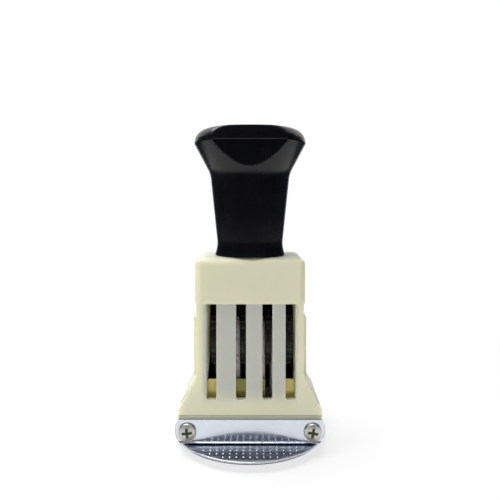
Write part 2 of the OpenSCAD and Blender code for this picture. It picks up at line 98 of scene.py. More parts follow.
class Wire:
    """A value inside a shader that the arithmetic operators work on."""

    def __init__(self, shader: "Shader", socket: bpy.types.NodeSocket) -> None:
        """Wraps an output socket of a shader."""
        self.shader = shader
        self.socket = socket

    def _math(self, operation: str, *values: "Wire | float") -> "Wire":
        """Joins values in one Math node."""
        return self.shader.add("ShaderNodeMath", {"operation": operation}, dict(enumerate(values)))

    def __add__(self, other: "Wire | float") -> "Wire":
        """Sum."""
        return self._math("ADD", self, other)

    def __radd__(self, other: float) -> "Wire":
        """Sum with a number first."""
        return self._math("ADD", other, self)

    def __sub__(self, other: "Wire | float") -> "Wire":
        """Difference."""
        return self._math("SUBTRACT", self, other)

    def __rsub__(self, other: float) -> "Wire":
        """Difference with a number first."""
        return self._math("SUBTRACT", other, self)

    def __mul__(self, other: "Wire | float") -> "Wire":
        """Product."""
        return self._math("MULTIPLY", self, other)

    def __rmul__(self, other: float) -> "Wire":
        """Product with a number first."""
        return self._math("MULTIPLY", other, self)

    def __abs__(self) -> "Wire":
        """Size without its sign."""
        return self._math("ABSOLUTE", self)

    def also(self, output: int | str) -> "Wire":
        """Another output of the same node."""
        return Wire(self.shader, self.socket.node.outputs[output])

    def most(self, other: "Wire | float") -> "Wire":
        """Larger of two values."""
        return self._math("MAXIMUM", self, other)

    def step(self, low: float, high: float) -> "Wire":
        """Smooth step from 0 at the low value to 1 at the high one."""
        return self.shader.add("ShaderNodeMapRange", {"interpolation_type": "SMOOTHSTEP"},
                               {"Value": self, "From Min": low, "From Max": high})

    def over(self, edge: float, fade: float) -> "Wire":
        """0 up to an edge, then a rise to 1 within the fade."""
        return self.step(edge, edge + fade)

    def under(self, edge: float, fade: float) -> "Wire":
        """1 up to the fade before an edge, then a fall to 0 at the edge."""
        return (edge - self).step(0.0, fade)


@dataclass(frozen=True)
class Grain:
    """A noise pattern: cycles in a metre, for all axes or each, octaves, and the weight of the finer ones."""

    scale: "float | tuple[float, float, float]"
    detail: float = 2.0
    rough: float = 0.5


class Shader:
    """The nodes of a material or of the world, added one at a time."""

    def __init__(self, owner: "bpy.types.Material | bpy.types.World") -> None:
        """Starts from the surface node that a new owner comes with.

        Args:
            owner: The material or the world.
        """
        owner.use_nodes = True
        self.owner = owner
        self.tree = owner.node_tree
        self.surface = next(n for n in self.tree.nodes if n.type in ("BSDF_PRINCIPLED", "BACKGROUND"))

    def add(self, kind: str, settings: dict | None = None, sockets: dict | None = None,
            output: int | str = 0) -> Wire:
        """Adds one node.

        Args:
            kind: The node's type.
            settings: Its properties.
            sockets: Its inputs by name or number, each a Wire or a constant.
            output: Name or number of the output to return.

        Returns:
            That output.
        """
        node = self.tree.nodes.new(kind)
        for key, value in (settings or {}).items():
            setattr(node, key, value)
        for key, value in (sockets or {}).items():
            self._feed(node.inputs[key], value)
        return Wire(self, node.outputs[output])

    def _feed(self, socket: bpy.types.NodeSocket, value: "Wire | float | Sequence[float]") -> None:
        """Links or sets one input.

        Args:
            socket: The input.
            value: A Wire to link or a constant.
        """
        if isinstance(value, Wire):
            self.tree.links.new(value.socket, socket)
        elif socket.type == "RGBA" and len(value) == 3:
            socket.default_value = (*value, 1.0)
        else:
            socket.default_value = value

    def finish(self, **sockets: "Wire | float | Sequence[float]") -> "bpy.types.Material | bpy.types.World":
        """Feeds the surface node.

        Args:
            sockets: Its inputs, with spaces written as underscores.

        Returns:
            The material or the world.
        """
        for key, value in sockets.items():
            self._feed(self.surface.inputs[key.replace("_", " ")], value)
        return self.owner

    def place(self) -> Wire:
        """Object coordinates, which are the part's own frame here."""
        return self.add("ShaderNodeTexCoord", output="Object")

    def axes(self, vector: Wire) -> tuple[Wire, Wire, Wire]:
        """The three parts of a vector."""
        first = self.add("ShaderNodeSeparateXYZ", None, {0: vector})
        return first, first.also(1), first.also(2)

    def mark(self) -> Wire:
        """The mark that a surface's points carry, or 0 where there is none."""
        return self.add("ShaderNodeAttribute", {"attribute_name": MARK}, output="Fac")

    def noise(self, place: Wire, grain: Grain) -> Wire:
        """Noise from 0 to 1.

        Args:
            place: Coordinates.
            grain: The pattern.

        Returns:
            The noise value.
        """
        scale = grain.scale
        if isinstance(scale, tuple):
            place = self.add("ShaderNodeMapping", None, {"Vector": place, "Scale": scale})
            scale = 1.0
        return self.add("ShaderNodeTexNoise", None,
                        {"Vector": place, "Scale": scale, "Detail": grain.detail, "Roughness": grain.rough})

    def mix(self, amount: "Wire | float", first: "Wire | Colour", second: "Wire | Colour") -> Wire:
        """Mixes two colours by the second's share."""
        return self.add("ShaderNodeMix", {"data_type": "RGBA"}, {0: amount, 6: first, 7: second}, 2)

    def bump(self, height: Wire, depth: float, strength: float) -> Wire:
        """Normal with fine relief: a height from 0 to 1, its depth in metres and the share that shows."""
        return self.add("ShaderNodeBump", None, {"Strength": strength, "Distance": depth, "Height": height})

    def shown(self) -> Wire:
        """1 for the rays that show a surface (camera, glossy and transmission rays), else 0."""
        camera = self.add("ShaderNodeLightPath", output="Is Camera Ray")
        return camera.most(camera.also("Is Glossy Ray")).most(camera.also("Is Transmission Ray"))


@dataclass(frozen=True)
class Zone:
    """A box of the part, alike on both sides, for a tint. Each limit is an edge and the fade inside it."""

    side: "Pair | None" = None
    front: "Pair | None" = None
    back: "Pair | None" = None
    foot: "Pair | None" = None
    top: "Pair | None" = None

    def share(self, x: Wire, y: Wire, z: Wire) -> Wire:
        """Share of the tint: the product of a soft step at each limit.

        Args:
            x: Place from left to right.
            y: Place from front to back.
            z: Height.

        Returns:
            1 well inside the zone and 0 outside it.
        """
        steps = [(y.over, self.front), (y.under, self.back), (z.over, self.foot), (z.under, self.top)]
        if self.side:
            steps.append((abs(x).under, self.side))
        return reduce(Wire.__mul__, (step(*limit) for step, limit in steps if limit))


@dataclass(frozen=True)
class Finish:
    """A finish: its slot in the record and its main values."""

    slot: Slot
    colour: Colour
    roughness: float

    def shade(self, shader: Shader) -> bpy.types.Material:
        """Builds the graph in a shader and gives its material."""
        raise NotImplementedError

    def material(self) -> bpy.types.Material:
        """The finish's material, which is built the first time."""
        name = f"{self.slot.value}_{round(self.roughness * 100)}"
        return bpy.data.materials.get(name) or self.shade(Shader(bpy.data.materials.new(name)))


@dataclass(frozen=True)
class IvoryPlastic(Finish):
    """Moulded ivory plastic, tinted by place, with painted light and shade.

    Painted shade makes the bars between the slots greyer, the case's inside and the side pockets dark,
    and draws a dark line over the flange. Painted light makes the slot sides paler, and the parting line
    is paler too. A pair is an edge and the fade beside it.
    """

    shadow: Colour = tone(212, 202, 166)
    # painted shade: the greyer bars between the slots
    painted_bar_shade: Colour = tone(182, 184, 179)
    # painted light on the slot sides; the parting line is paler too
    pale: Colour = tone(252, 248, 224)
    # painted shade: the dark line along the flange's top
    line: Colour = tone(150, 146, 130)
    # painted shade: the dark inside of the case and the side pockets
    painted_hollow_shade: Colour = tone(44, 40, 26)
    cloud: Grain = Grain(70.0, 4.0, 0.55)
    grain: Grain = Grain(5200.0)
    flow: Grain = Grain((300.0, 300.0, 60.0))
    relief: float = 12 * MICRON
    scatter: tuple[float, float, float] = (3.4 * MM, 3.1 * MM, 2.1 * MM)
    # where the painted bar shade goes: the bars between the slots
    bars: Zone = Zone(side=(15.2 * MM, 1.6 * MM), back=(-12.5 * MM, 0.6 * MM), foot=(14.0 * MM, 7.0 * MM),
                      top=(46.8 * MM, 0.8 * MM))
    # where painted light makes the slot sides paler
    painted_light_sides: Zone = Zone((15.2 * MM, FINE), (-14.0 * MM, 0.4 * MM), (-8.6 * MM, 0.4 * MM),
                       (16.0 * MM, 0.5 * MM), (46.2 * MM, 0.2 * MM))
    # where the painted shade inside the case goes
    inside: Zone = Zone(side=(15.1 * MM, FINE), front=(-8.4 * MM, 3.0 * MM), back=(6.2 * MM, FINE),
                        top=(57.5 * MM, FINE))
    parting_y: float = -3.5 * MM
    parting: Pair = (0.7 * MM, 0.7 * MM)
    # edges of the painted shade line over the flange
    foot_front: Pair = (-14.5 * MM, FINE)
    flange_z: float = 11.2 * MM
    line_low: Pair = (0.0, 0.3 * MM)
    line_top: Pair = (1.3 * MM, 0.2 * MM)
    rim_low: Pair = (0.9 * MM, FINE)
    rim_top: Pair = (1.3 * MM, FINE)
    # the side pockets, which get painted shade
    pocket_y: float = -12.85 * MM
    pocket_z: float = 15.3 * MM
    pocket_taper: float = 0.1635
    pocket_half: Pair = (0.97 * MM, 0.06 * MM)
    pocket_low: Pair = (15.2 * MM, 0.05 * MM)
    pocket_side: Pair = (15.4 * MM, FINE)

    def flange_shade_line(self, y: Wire, z: Wire) -> Wire:
        """Share of the painted shade over the flange: a soft dark line with a crisp upper rim.

        Args:
            y: Place from front to back.
            z: Height.

        Returns:
            The share.
        """
        rise = (z - self.flange_z) * y.under(*self.foot_front)
        line = rise.over(*self.line_low) * rise.under(*self.line_top)
        rim = rise.over(*self.rim_low) * rise.under(*self.rim_top)
        return line * 0.40 + rim * 0.45

    def pocket(self, x: Wire, y: Wire, z: Wire) -> Wire:
        """1 in the pointed pockets in the sloped sides, which get painted shade; their half width shrinks with
        height.

        Args:
            x: Place from left to right.
            y: Place from front to back.
            z: Height.

        Returns:
            The mask.
        """
        spread = abs(y - self.pocket_y) + (z - self.pocket_z) * self.pocket_taper
        return spread.under(*self.pocket_half) * z.over(*self.pocket_low) * abs(x).over(*self.pocket_side)

    def shade(self, shader: Shader) -> bpy.types.Material:
        """Builds the graph.

        Args:
            shader: Shader to build in.

        Returns:
            The finished material.
        """
        place = shader.place()
        at = shader.axes(place)
        cloud = shader.noise(place, self.cloud)
        parting = abs(at[1] - self.parting_y).under(*self.parting)
        colour = shader.mix((cloud - 0.35) * 0.35, self.colour, self.shadow)
        # painted shade: greyer bars between the slots
        colour = shader.mix(self.bars.share(*at) * 0.82, colour, self.painted_bar_shade)
        # painted light: paler slot sides; the parting line is paler too
        colour = shader.mix(self.painted_light_sides.share(*at).most(parting), colour, self.pale)
        # painted shade: the dark line over the flange
        colour = shader.mix(self.flange_shade_line(*at[1:]), colour, self.line)
        # painted shade: dark inside of the case and in the side pockets
        colour = shader.mix(self.inside.share(*at).most(self.pocket(*at)), colour, self.painted_hollow_shade)
        height = shader.noise(place, self.grain) * 0.6 + shader.noise(place, self.flow)
        return shader.finish(Base_Color=colour, Roughness=self.roughness + (cloud - 0.5) * 0.12,
                             Normal=shader.bump(height, self.relief, 0.5), Specular_IOR_Level=0.42,
                             Subsurface_Weight=0.8, Subsurface_Radius=self.scatter, Subsurface_Scale=1.0)


@dataclass(frozen=True)
class BlackPlastic(Finish):
    """Black moulded plastic with a faint grain and handling marks."""

    relief: float = 10 * MICRON
    worn: Colour = tone(40, 40, 42)
    cloud: Grain = Grain(110.0, 4.0, 0.6)
    streak: Grain = Grain((900.0, 900.0, 90.0), 3.0, 0.6)
    fine: Grain = Grain(4200.0)
    dust: Grain = Grain(1500.0, 3.0, 0.7)

    def shade(self, shader: Shader) -> bpy.types.Material:
        """Builds the graph.

        Args:
            shader: Shader to build in.

        Returns:
            The finished material.
        """
        place = shader.place()
        cloud, streak, fine, dust = (shader.noise(place, grain) for grain in
                                     (self.cloud, self.streak, self.fine, self.dust))
        colour = shader.mix(dust.step(0.60, 0.78) * 0.12 + (cloud - 0.45) * 0.15, self.colour, self.worn)
        rough = self.roughness + (cloud - 0.5) * 0.16 + (streak - 0.5) * 0.08
        return shader.finish(Base_Color=colour, Roughness=rough, Specular_IOR_Level=0.38,
                             Normal=shader.bump(fine, self.relief, 0.6))


@dataclass(frozen=True)
class PlatedSteel(Finish):
    """Bright zinc plating: rolled sheet lines, soft patches and a few fine scratches."""

    relief: float = 4 * MICRON
    dull: Colour = tone(196, 200, 208)
    recess: Colour = tone(120, 127, 100)
    patch: Grain = Grain(160.0, 4.0, 0.6)
    rolled: Grain = Grain((120.0, 2600.0, 2600.0), 3.0, 0.6)
    peel: Grain = Grain(900.0)
    scratch: Grain = Grain((4200.0, 260.0, 4200.0), 1.0, 0.4)
    spangle: float = 620.0

    def shade(self, shader: Shader) -> bpy.types.Material:
        """Builds the graph.

        Args:
            shader: Shader to build in.

        Returns:
            The finished material.
        """
        place = shader.place()
        patch, rolled, peel, scratch = (shader.noise(place, grain) for grain in
                                        (self.patch, self.rolled, self.peel, self.scratch))
        scratch = scratch.step(0.70, 0.74)
        spangle = shader.add("ShaderNodeTexVoronoi", {"feature": "F1"},
                             {"Vector": place, "Scale": self.spangle})
        mark = shader.mark()
        colour = shader.mix((patch - 0.3) * 0.7 + spangle * 0.15, self.colour, self.dull)
        colour = shader.mix(mark, colour, self.recess)
        rough = self.roughness + (patch - 0.5) * 0.10 + (rolled - 0.5) * 0.08 + scratch * 0.10 + mark * 0.3
        height = rolled * 0.5 + peel * 1.2 + scratch * 0.4
        return shader.finish(Base_Color=colour, Metallic=1.0 - mark * 0.6, Roughness=rough,
                             Normal=shader.bump(height, self.relief, 0.8))


@dataclass(frozen=True)
class YellowSheet(Finish):
    """Yellow-passivated sheet with faint green and pink bands; painted shade in the middle and deep in the case.
    """

    green: Colour = tone(166, 166, 98)
    pink: Colour = tone(200, 162, 110)
    # painted shade towards the middle
    olive_middle_shade: Colour = tone(112, 114, 58)
    # painted shade deep in the case
    painted_hollow_shade: Colour = tone(34, 31, 20)
    sweep: Grain = Grain(140.0, 3.0, 0.5)
    drift: Grain = Grain((90.0, 200.0, 260.0), 3.0, 0.6)
    fine: Grain = Grain(2600.0)
    relief: float = 5 * MICRON
    # where the painted shade towards the middle goes
    middle: Zone = Zone(side=(9.5 * MM, 3.0 * MM))
    # where the painted shade deep in the case goes
    deep: Zone = Zone(front=(-10.4 * MM, 0.8 * MM), foot=(11.0 * MM, 5.0 * MM))

    def shade(self, shader: Shader) -> bpy.types.Material:
        """Builds the graph.

        Args:
            shader: Shader to build in.

        Returns:
            The finished material.
        """
        place = shader.place()
        at = shader.axes(place)
        sweep, drift, fine = (shader.noise(place, grain) for grain in (self.sweep, self.drift, self.fine))
        colour = shader.mix(sweep.step(0.42, 0.62), self.colour, self.green)
        colour = shader.mix(drift.step(0.52, 0.72) * 0.7, colour, self.pink)
        # painted shade: darker and greener towards the middle
        colour = shader.mix(self.middle.share(*at) * 0.85, colour, self.olive_middle_shade)
        # painted shade: dark deep in the case
        colour = shader.mix(self.deep.share(*at), colour, self.painted_hollow_shade)
        rough = self.roughness + (drift - 0.5) * 0.2
        return shader.finish(Base_Color=colour, Metallic=0.85, Roughness=rough,
                             Normal=shader.bump(fine, self.relief, 0.6))


@dataclass(frozen=True)
class BandRubber(Finish):
    """Pale type rubber, a little soiled, with painted shade on the raised type's sides and inside the case."""

    soil: Colour = tone(176, 168, 160)
    # painted shade: on the type's sides and on the band inside the case
    painted_type_shade: Colour = tone(52, 50, 46)
    cloud: Grain = Grain(260.0, 4.0, 0.6)
    speck: Grain = Grain(1800.0, 3.0, 0.6)
    relief: float = 12 * MICRON
    # painted shade on the band inside the case, above this height
    inside: Zone = Zone(foot=(11.0 * MM, 5.0 * MM))

    def shade(self, shader: Shader) -> bpy.types.Material:
        """Builds the graph.

        Args:
            shader: Shader to build in.

        Returns:
            The finished material.
        """
        place = shader.place()
        cloud = shader.noise(place, self.cloud)
        speck = shader.noise(place, self.speck)
        soil = cloud.step(0.45, 0.8) * 0.45 + speck.step(0.6, 0.8) * 0.25
        mark = shader.mark()
        # painted shade on the band inside the case, off the raised type
        inside = self.inside.share(*shader.axes(place)) * (1.0 - mark)
        # painted shade on the sides of the raised type
        flank_shade = mark.step(0.02, 0.12) * mark.under(0.95, 0.3)
        colour = shader.mix(soil, self.colour, self.soil)
        # painted shade: type sides and the band inside the case
        colour = shader.mix(inside * 0.12 + flank_shade * 0.7, colour, self.painted_type_shade)
        return shader.finish(Base_Color=colour, Roughness=self.roughness + (cloud - 0.5) * 0.15,
                             Normal=shader.bump(speck, self.relief, 0.5), Specular_IOR_Level=0.5)


IVORY = IvoryPlastic(Slot.IVORY, tone(220, 218, 192), 0.38)
HANDLE_BLACK = BlackPlastic(Slot.BLACK, tone(6, 6, 6), 0.25)
WHEEL_BLACK = BlackPlastic(Slot.WHEEL, tone(14, 14, 15), 0.42, 14 * MICRON)
PLATED = PlatedSteel(Slot.PLATED, tone(216, 221, 231), 0.17)
PUNCHED = PlatedSteel(Slot.PLATED, tone(216, 221, 231), 0.25)
SCREW = PlatedSteel(Slot.SCREW, tone(200, 200, 194), 0.30, 3 * MICRON, tone(164, 164, 156))
YELLOW = YellowSheet(Slot.BRASS, tone(200, 180, 112), 0.34)
RUBBER = BandRubber(Slot.RUBBER, tone(232, 229, 224), 0.40)
PALE = BandRubber(Slot.PLATEN, tone(226, 232, 234), 0.34, tone(206, 212, 214))


@dataclass
class Surface:
    """Collects patches of points into one mesh."""

    points: list[np.ndarray] = field(default_factory=list)
    marks: list[np.ndarray] = field(default_factory=list)
    faces: list[np.ndarray] = field(default_factory=list)
    count: int = 0

    def take(self, points: np.ndarray, mark: "np.ndarray | float" = 0.0) -> np.ndarray:
        """Stores points.

        Args:
            points: Points, last axis x, y, z.
            mark: The points' mark, which finishes can read.

        Returns:
            Their numbers, in the same layout.
        """
        flat = points.reshape(-1, 3)
        start = self.count
        self.count += len(flat)
        self.points.append(flat)
        self.marks.append(np.broadcast_to(mark, points.shape[:-1]).ravel())
        return np.arange(start, self.count).reshape(points.shape[:-1])

    def weave(self, rows: np.ndarray, ring: bool = False) -> None:
        """Adds the quads between rows of points whose columns close on themselves.

        Args:
            rows: Numbers of the points, turning so that faces look outwards.
            ring: Whether the last row joins the first.
        """
        near, far = (rows, np.roll(rows, -1, 0)) if ring else (rows[:-1], rows[1:])
        quads = np.stack([near, np.roll(near, -1, 1), np.roll(far, -1, 1), far], -1)
        self.faces.append(quads.reshape(-1, 4))

    def grid(self, points: np.ndarray, ring: bool = False, caps: bool = False,
             mark: "np.ndarray | float" = 0.0) -> "Surface":
        """Adds a grid whose columns close on themselves.

        Args:
            points: Rows by columns by three, with columns turning so that faces look outwards.
            ring: Whether the last row joins the first.
            caps: Whether each end row closes at a point in its middle.
            mark: The points' mark, which finishes can read.

        Returns:
            This surface.
        """
        rows = self.take(points, mark)
        self.weave(rows, ring)
        if caps:
            ends = np.broadcast_to(mark, points.shape[:2])[[0, -1]]
            poles = self.take(points[[0, -1]].mean(1), ends.mean(1))
            first, last = rows[0], rows[-1]
            self.faces.append(np.stack([np.full_like(first, poles[0]), np.roll(first, -1), first], -1))
            self.faces.append(np.stack([np.full_like(last, poles[1]), last, np.roll(last, -1)], -1))
        return self

    def patch(self, points: np.ndarray, faces: np.ndarray) -> np.ndarray:
        """Adds points and faces.

        Args:
            points: Points by three.
            faces: Faces that number those points.

        Returns:
            The points' numbers in the whole surface.
        """
        ids = self.take(points)
        self.faces.append(ids[faces])
        return ids

    def copies(self, turns: np.ndarray, moves: np.ndarray) -> "Surface":
        """Repeats the surface.

        Args:
            turns: Turns, copies by three by three.
            moves: Moves, copies by three.

        Returns:
            A new surface of all the copies.
        """
        base = np.concatenate(self.points)
        every = np.einsum("kij,nj->kni", turns, base) + moves[:, None]
        marks = np.tile(np.concatenate(self.marks), len(moves))
        offsets = np.arange(len(moves))[:, None, None] * len(base)
        faces = [(f + offsets).reshape(-1, f.shape[1]) for f in self.faces]
        return Surface([every.reshape(-1, 3)], [marks], faces, len(marks))

    def build(self, name: str, sharp: float = 38.0) -> bpy.types.Object:
        """Makes the object.

        Args:
            name: Name of the object.
            sharp: Angle in degrees above which an edge shades sharp.

        Returns:
            The new object.
        """
        mesh = bpy.data.meshes.new(name)
        mesh.from_pydata(np.concatenate(self.points), [], [row for f in self.faces for row in f.tolist()])
        mark = mesh.attributes.new(MARK, "FLOAT", "POINT")
        mark.data.foreach_set("value", np.concatenate(self.marks).astype(np.float32))
        return finished_object(mesh, name, sharp)


def finished_object(mesh: bpy.types.Mesh, name: str, sharp: float) -> bpy.types.Object:
    """Shades a mesh and puts it in the scene.

    Args:
        mesh: The mesh.
        name: Name of the object.
        sharp: Angle in degrees above which an edge shades sharp.

    Returns:
        The new object.
    """
    mesh.validate()
    mesh.polygons.foreach_set("use_smooth", np.ones(len(mesh.polygons), bool))
    mesh.set_sharp_from_angle(angle=math.radians(sharp))
    return placed(name, mesh)


def placed(name: str, data: "bpy.types.Mesh | bpy.types.Light | bpy.types.Camera") -> bpy.types.Object:
    """Puts a new object with some data into the scene.

    Args:
        name: Name of the object.
        data: Its mesh, light or camera.

    Returns:
        The new object.
    """
    item = bpy.data.objects.new(name, data)
    bpy.context.scene.collection.objects.link(item)
    return item


def dress(item: bpy.types.Object, finish: Finish, body: str, *nodes: str) -> None:
    """Gives a piece its finish, its body and the nodes that it stands for.

    Args:
        item: The piece.
        finish: Its finish.
        body: CAD body that it moves with.
        nodes: CAD nodes that it replaces.
    """
    item.data.materials.clear()
    item.data.materials.append(finish.material())
    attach(item, body)
    if nodes:
        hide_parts(*nodes)
    LOG.info("%s: %d faces, %s", item.name, len(item.data.polygons), finish.slot.value)


def span(node: str) -> tuple[np.ndarray, np.ndarray]:
    """Low and high corner of a CAD node's box."""
    low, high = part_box(node)
    return np.array(low), np.array(high)


def axle() -> np.ndarray:
    """A point on the axle that all the wheels turn on."""
    return np.array(frame["joints"][0]["pos_m"])


def around(count: int) -> np.ndarray:
    """Angles that share out a full turn."""
    return np.linspace(0, 2 * np.pi, count, endpoint=False)


def rays(angles: np.ndarray) -> np.ndarray:
    """Unit directions (cos a, sin a) on a new last axis."""
    return np.stack([np.cos(angles), np.sin(angles)], -1)


def turned(profile: np.ndarray, angles: np.ndarray) -> np.ndarray:
    """Grid of a profile turned about Z: each point (r, z) goes round to (r cos a, r sin a, z)."""
    r, z = profile[:, :1], profile[:, 1:]
    return np.stack([r * np.cos(angles), r * np.sin(angles), z + 0 * angles], -1)


def corner_arc(centre: Sequence[float], radius: float, start: float, stop: float, count: int) -> np.ndarray:
    """Points on an arc about a centre, from one angle in degrees to another."""
    return np.array(centre) + radius * rays(np.radians(np.linspace(start, stop, count)))


@dataclass
class Plate:
    """Round plate, punched all over with small dimples that stand out below as pimples.

    A ring of points round a pimple is a share of its radius and a count.
    One round a rivet is a radius and a height.
    """

    pitch: float = 2.0 * MM
    half_count: int = 13
    pimple_r: float = 0.42 * MM
    pimple_h: float = 0.20 * MM
    pimple_rings: tuple[tuple[float, int], ...] = ((0.0, 1), (0.3, 8), (0.62, 10), (0.86, 12), (1.04, 12))
    window: tuple[float, float, float] = (14.1 * MM, 6.19 * MM, 1.5 * MM)
    rivet_at: Pair = (14.4 * MM, 10.8 * MM)
    rivet_rings: tuple[Pair, ...] = (
        (0.3 * MM, 0.03 * MM), (0.62 * MM, 0.035 * MM), (0.78 * MM, 0.03 * MM), (0.84 * MM, -0.06 * MM),
        (0.90 * MM, -0.06 * MM), (0.96 * MM, 0.0), (1.1 * MM, 0.0))
    rim_room: float = 1.3 * MM
    window_room: float = 0.9 * MM
    rivet_room: float = 1.5 * MM
    edge: float = 0.12 * MM
    rim_points: int = 192
    rivet_points: int = 28

    def centres(self, radius: float) -> np.ndarray:
        """Places of the pimples: a square grid without those near the rim, the window and the rivets.

        Args:
            radius: Radius of the plate.

        Returns:
            Points by two.
        """
        steps = np.arange(-self.half_count, self.half_count + 1) * self.pitch
        x, y = (g.ravel() for g in np.meshgrid(steps, steps))
        w, d, _ = self.window
        keep = np.hypot(x, y) < radius - self.rim_room
        keep &= (np.abs(x) > w + self.window_room) | (np.abs(y) > d + self.window_room)
        keep &= np.hypot(np.abs(x) - self.rivet_at[0], np.abs(y) - self.rivet_at[1]) > self.rivet_room
        return np.stack([x[keep], y[keep]], -1)

    def rim(self, radius: float, inset: float) -> np.ndarray:
        """The plate's rim: a circle, moved into the plate by the inset."""
        return (radius - inset) * rays(around(self.rim_points))

    def outline(self, inset: float) -> np.ndarray:
        """The window's edge: a rectangle with round corners, moved into the plate by the inset.

        Args:
            inset: Distance outwards from the window.

        Returns:
            Points by two, anticlockwise.
        """
        w, d, r = self.window
        parts = [corner_arc((sx * (w - r), sy * (d - r)), r + inset, a, a + 90, 7)
                 for sx, sy, a in ((1, 1, 0), (-1, 1, 90), (-1, -1, 180), (1, -1, 270))]
        return np.concatenate(parts)

    def relief(self, radius: float) -> tuple[np.ndarray, np.ndarray]:
        """Points of the pimples and the rivets, and how far each stands out below.

        A pimple's height falls from its middle to its edge as half a cosine wave.

        Args:
            radius: Radius of the plate.

        Returns:
            Points by two, and their heights.
        """
        shares, counts = zip(*self.pimple_rings)
        share = np.repeat(shares, counts)
        spot = self.pimple_r * share[:, None] * rays(np.concatenate([around(n) + 0.2 * n for n in counts]))
        dots = (self.centres(radius)[:, None] + spot).reshape(-1, 2)
        bell = self.pimple_h * 0.5 * (1 + np.cos(np.pi * np.minimum(share, 1)))
        ring, deep = np.repeat(self.rivet_rings, self.rivet_points, axis=0).T
        circle = ring[:, None] * rays(np.tile(around(self.rivet_points), len(self.rivet_rings)))
        heads = np.array([[sx, sy] for sx in (-1, 1) for sy in (-1, 1)]) * self.rivet_at
        marks = (heads[:, None] + circle).reshape(-1, 2)
        heights = [np.tile(bell, len(dots) // len(bell)), np.tile(deep, len(heads))]
        return np.concatenate([dots, marks]), np.concatenate(heights)

    def face(self, radius: float) -> tuple[np.ndarray, np.ndarray, np.ndarray, np.ndarray]:
        """Triangles of the flat ring between rim and window, through the points of its relief.

        Args:
            radius: Radius of the plate.

        Returns:
            Points by two, heights, triangles, and the numbers of the rim's points then the window's.
        """
        rim, hole = self.rim(radius, self.edge), self.outline(self.edge)
        spots, raised = self.relief(radius)
        border = len(rim) + len(hole)
        flat = np.concatenate([rim, hole, spots])
        height = np.concatenate([np.zeros(border), raised])
        loops = np.split(np.arange(border), [len(rim)])
        edges = np.concatenate([np.stack([loop, np.roll(loop, -1)], -1) for loop in loops])
        unit = 1000.0
        found = delaunay_2d_cdt((flat * unit).tolist(), edges.tolist(), [], 0, 1e-7)
        spots = np.array([tuple(v) for v in found[0]]) / unit
        source = np.array([o[0] if o else -1 for o in found[3]])
        tris = np.array(found[2])
        middle = spots[tris].mean(1)
        in_window = (np.abs(middle) < self.window[:2]).all(1)
        tris = tris[(np.hypot(*middle.T) < radius) & ~in_window]
        back = np.full(len(flat), -1)
        back[source[source >= 0]] = np.nonzero(source >= 0)[0]
        return spots, height[np.maximum(source, 0)], tris, back[:border]

    def rounding(self, surface: Surface, ends: Sequence[np.ndarray], heights: Pair,
                 shape: Callable[[float], np.ndarray]) -> np.ndarray:
        """Adds the rows of points that round an edge from the lower face to the upper one.

        Args:
            surface: Surface to add to.
            ends: Numbers of the edge's points in the lower and in the upper face.
            heights: Heights of those faces.
            shape: Gives the edge's outline for an inset.

        Returns:
            Numbers of the points of all the rows, both faces' rows too.
        """
        low, high = heights
        part, full = 0.3 * self.edge, self.edge
        rings = []
        for inset, z in ((part, low + part), (0.0, low + full), (0.0, high - full), (part, high - part)):
            flat = shape(inset)
            rings.append(np.column_stack([flat, np.full(len(flat), z)]))
        return np.vstack([ends[0][None], surface.take(np.stack(rings)), ends[1][None]])

    def build(self) -> None:
        """Makes the plate: both faces, and a rounded rim and window edge between them."""
        low, high = span("stamp_plate")
        radius = float(np.abs([low[:2], high[:2]]).min())
        flat, height, tris, loops = self.face(radius)
        heights = (low[2], high[2])
        surface = Surface()
        under = surface.patch(np.column_stack([flat, low[2] - height]), tris[:, ::-1])
        over = surface.patch(np.column_stack([flat, high[2] - height]), tris)
        rim, hole = np.split(loops, [self.rim_points])
        surface.weave(self.rounding(surface, (under[rim], over[rim]), heights, partial(self.rim, radius)))
        surface.weave(self.rounding(surface, (under[hole], over[hole]), heights, self.outline)[::-1])
        item = surface.build("plate_face", 50.0)
        dress(item, PUNCHED, "stamp", "stamp_plate")


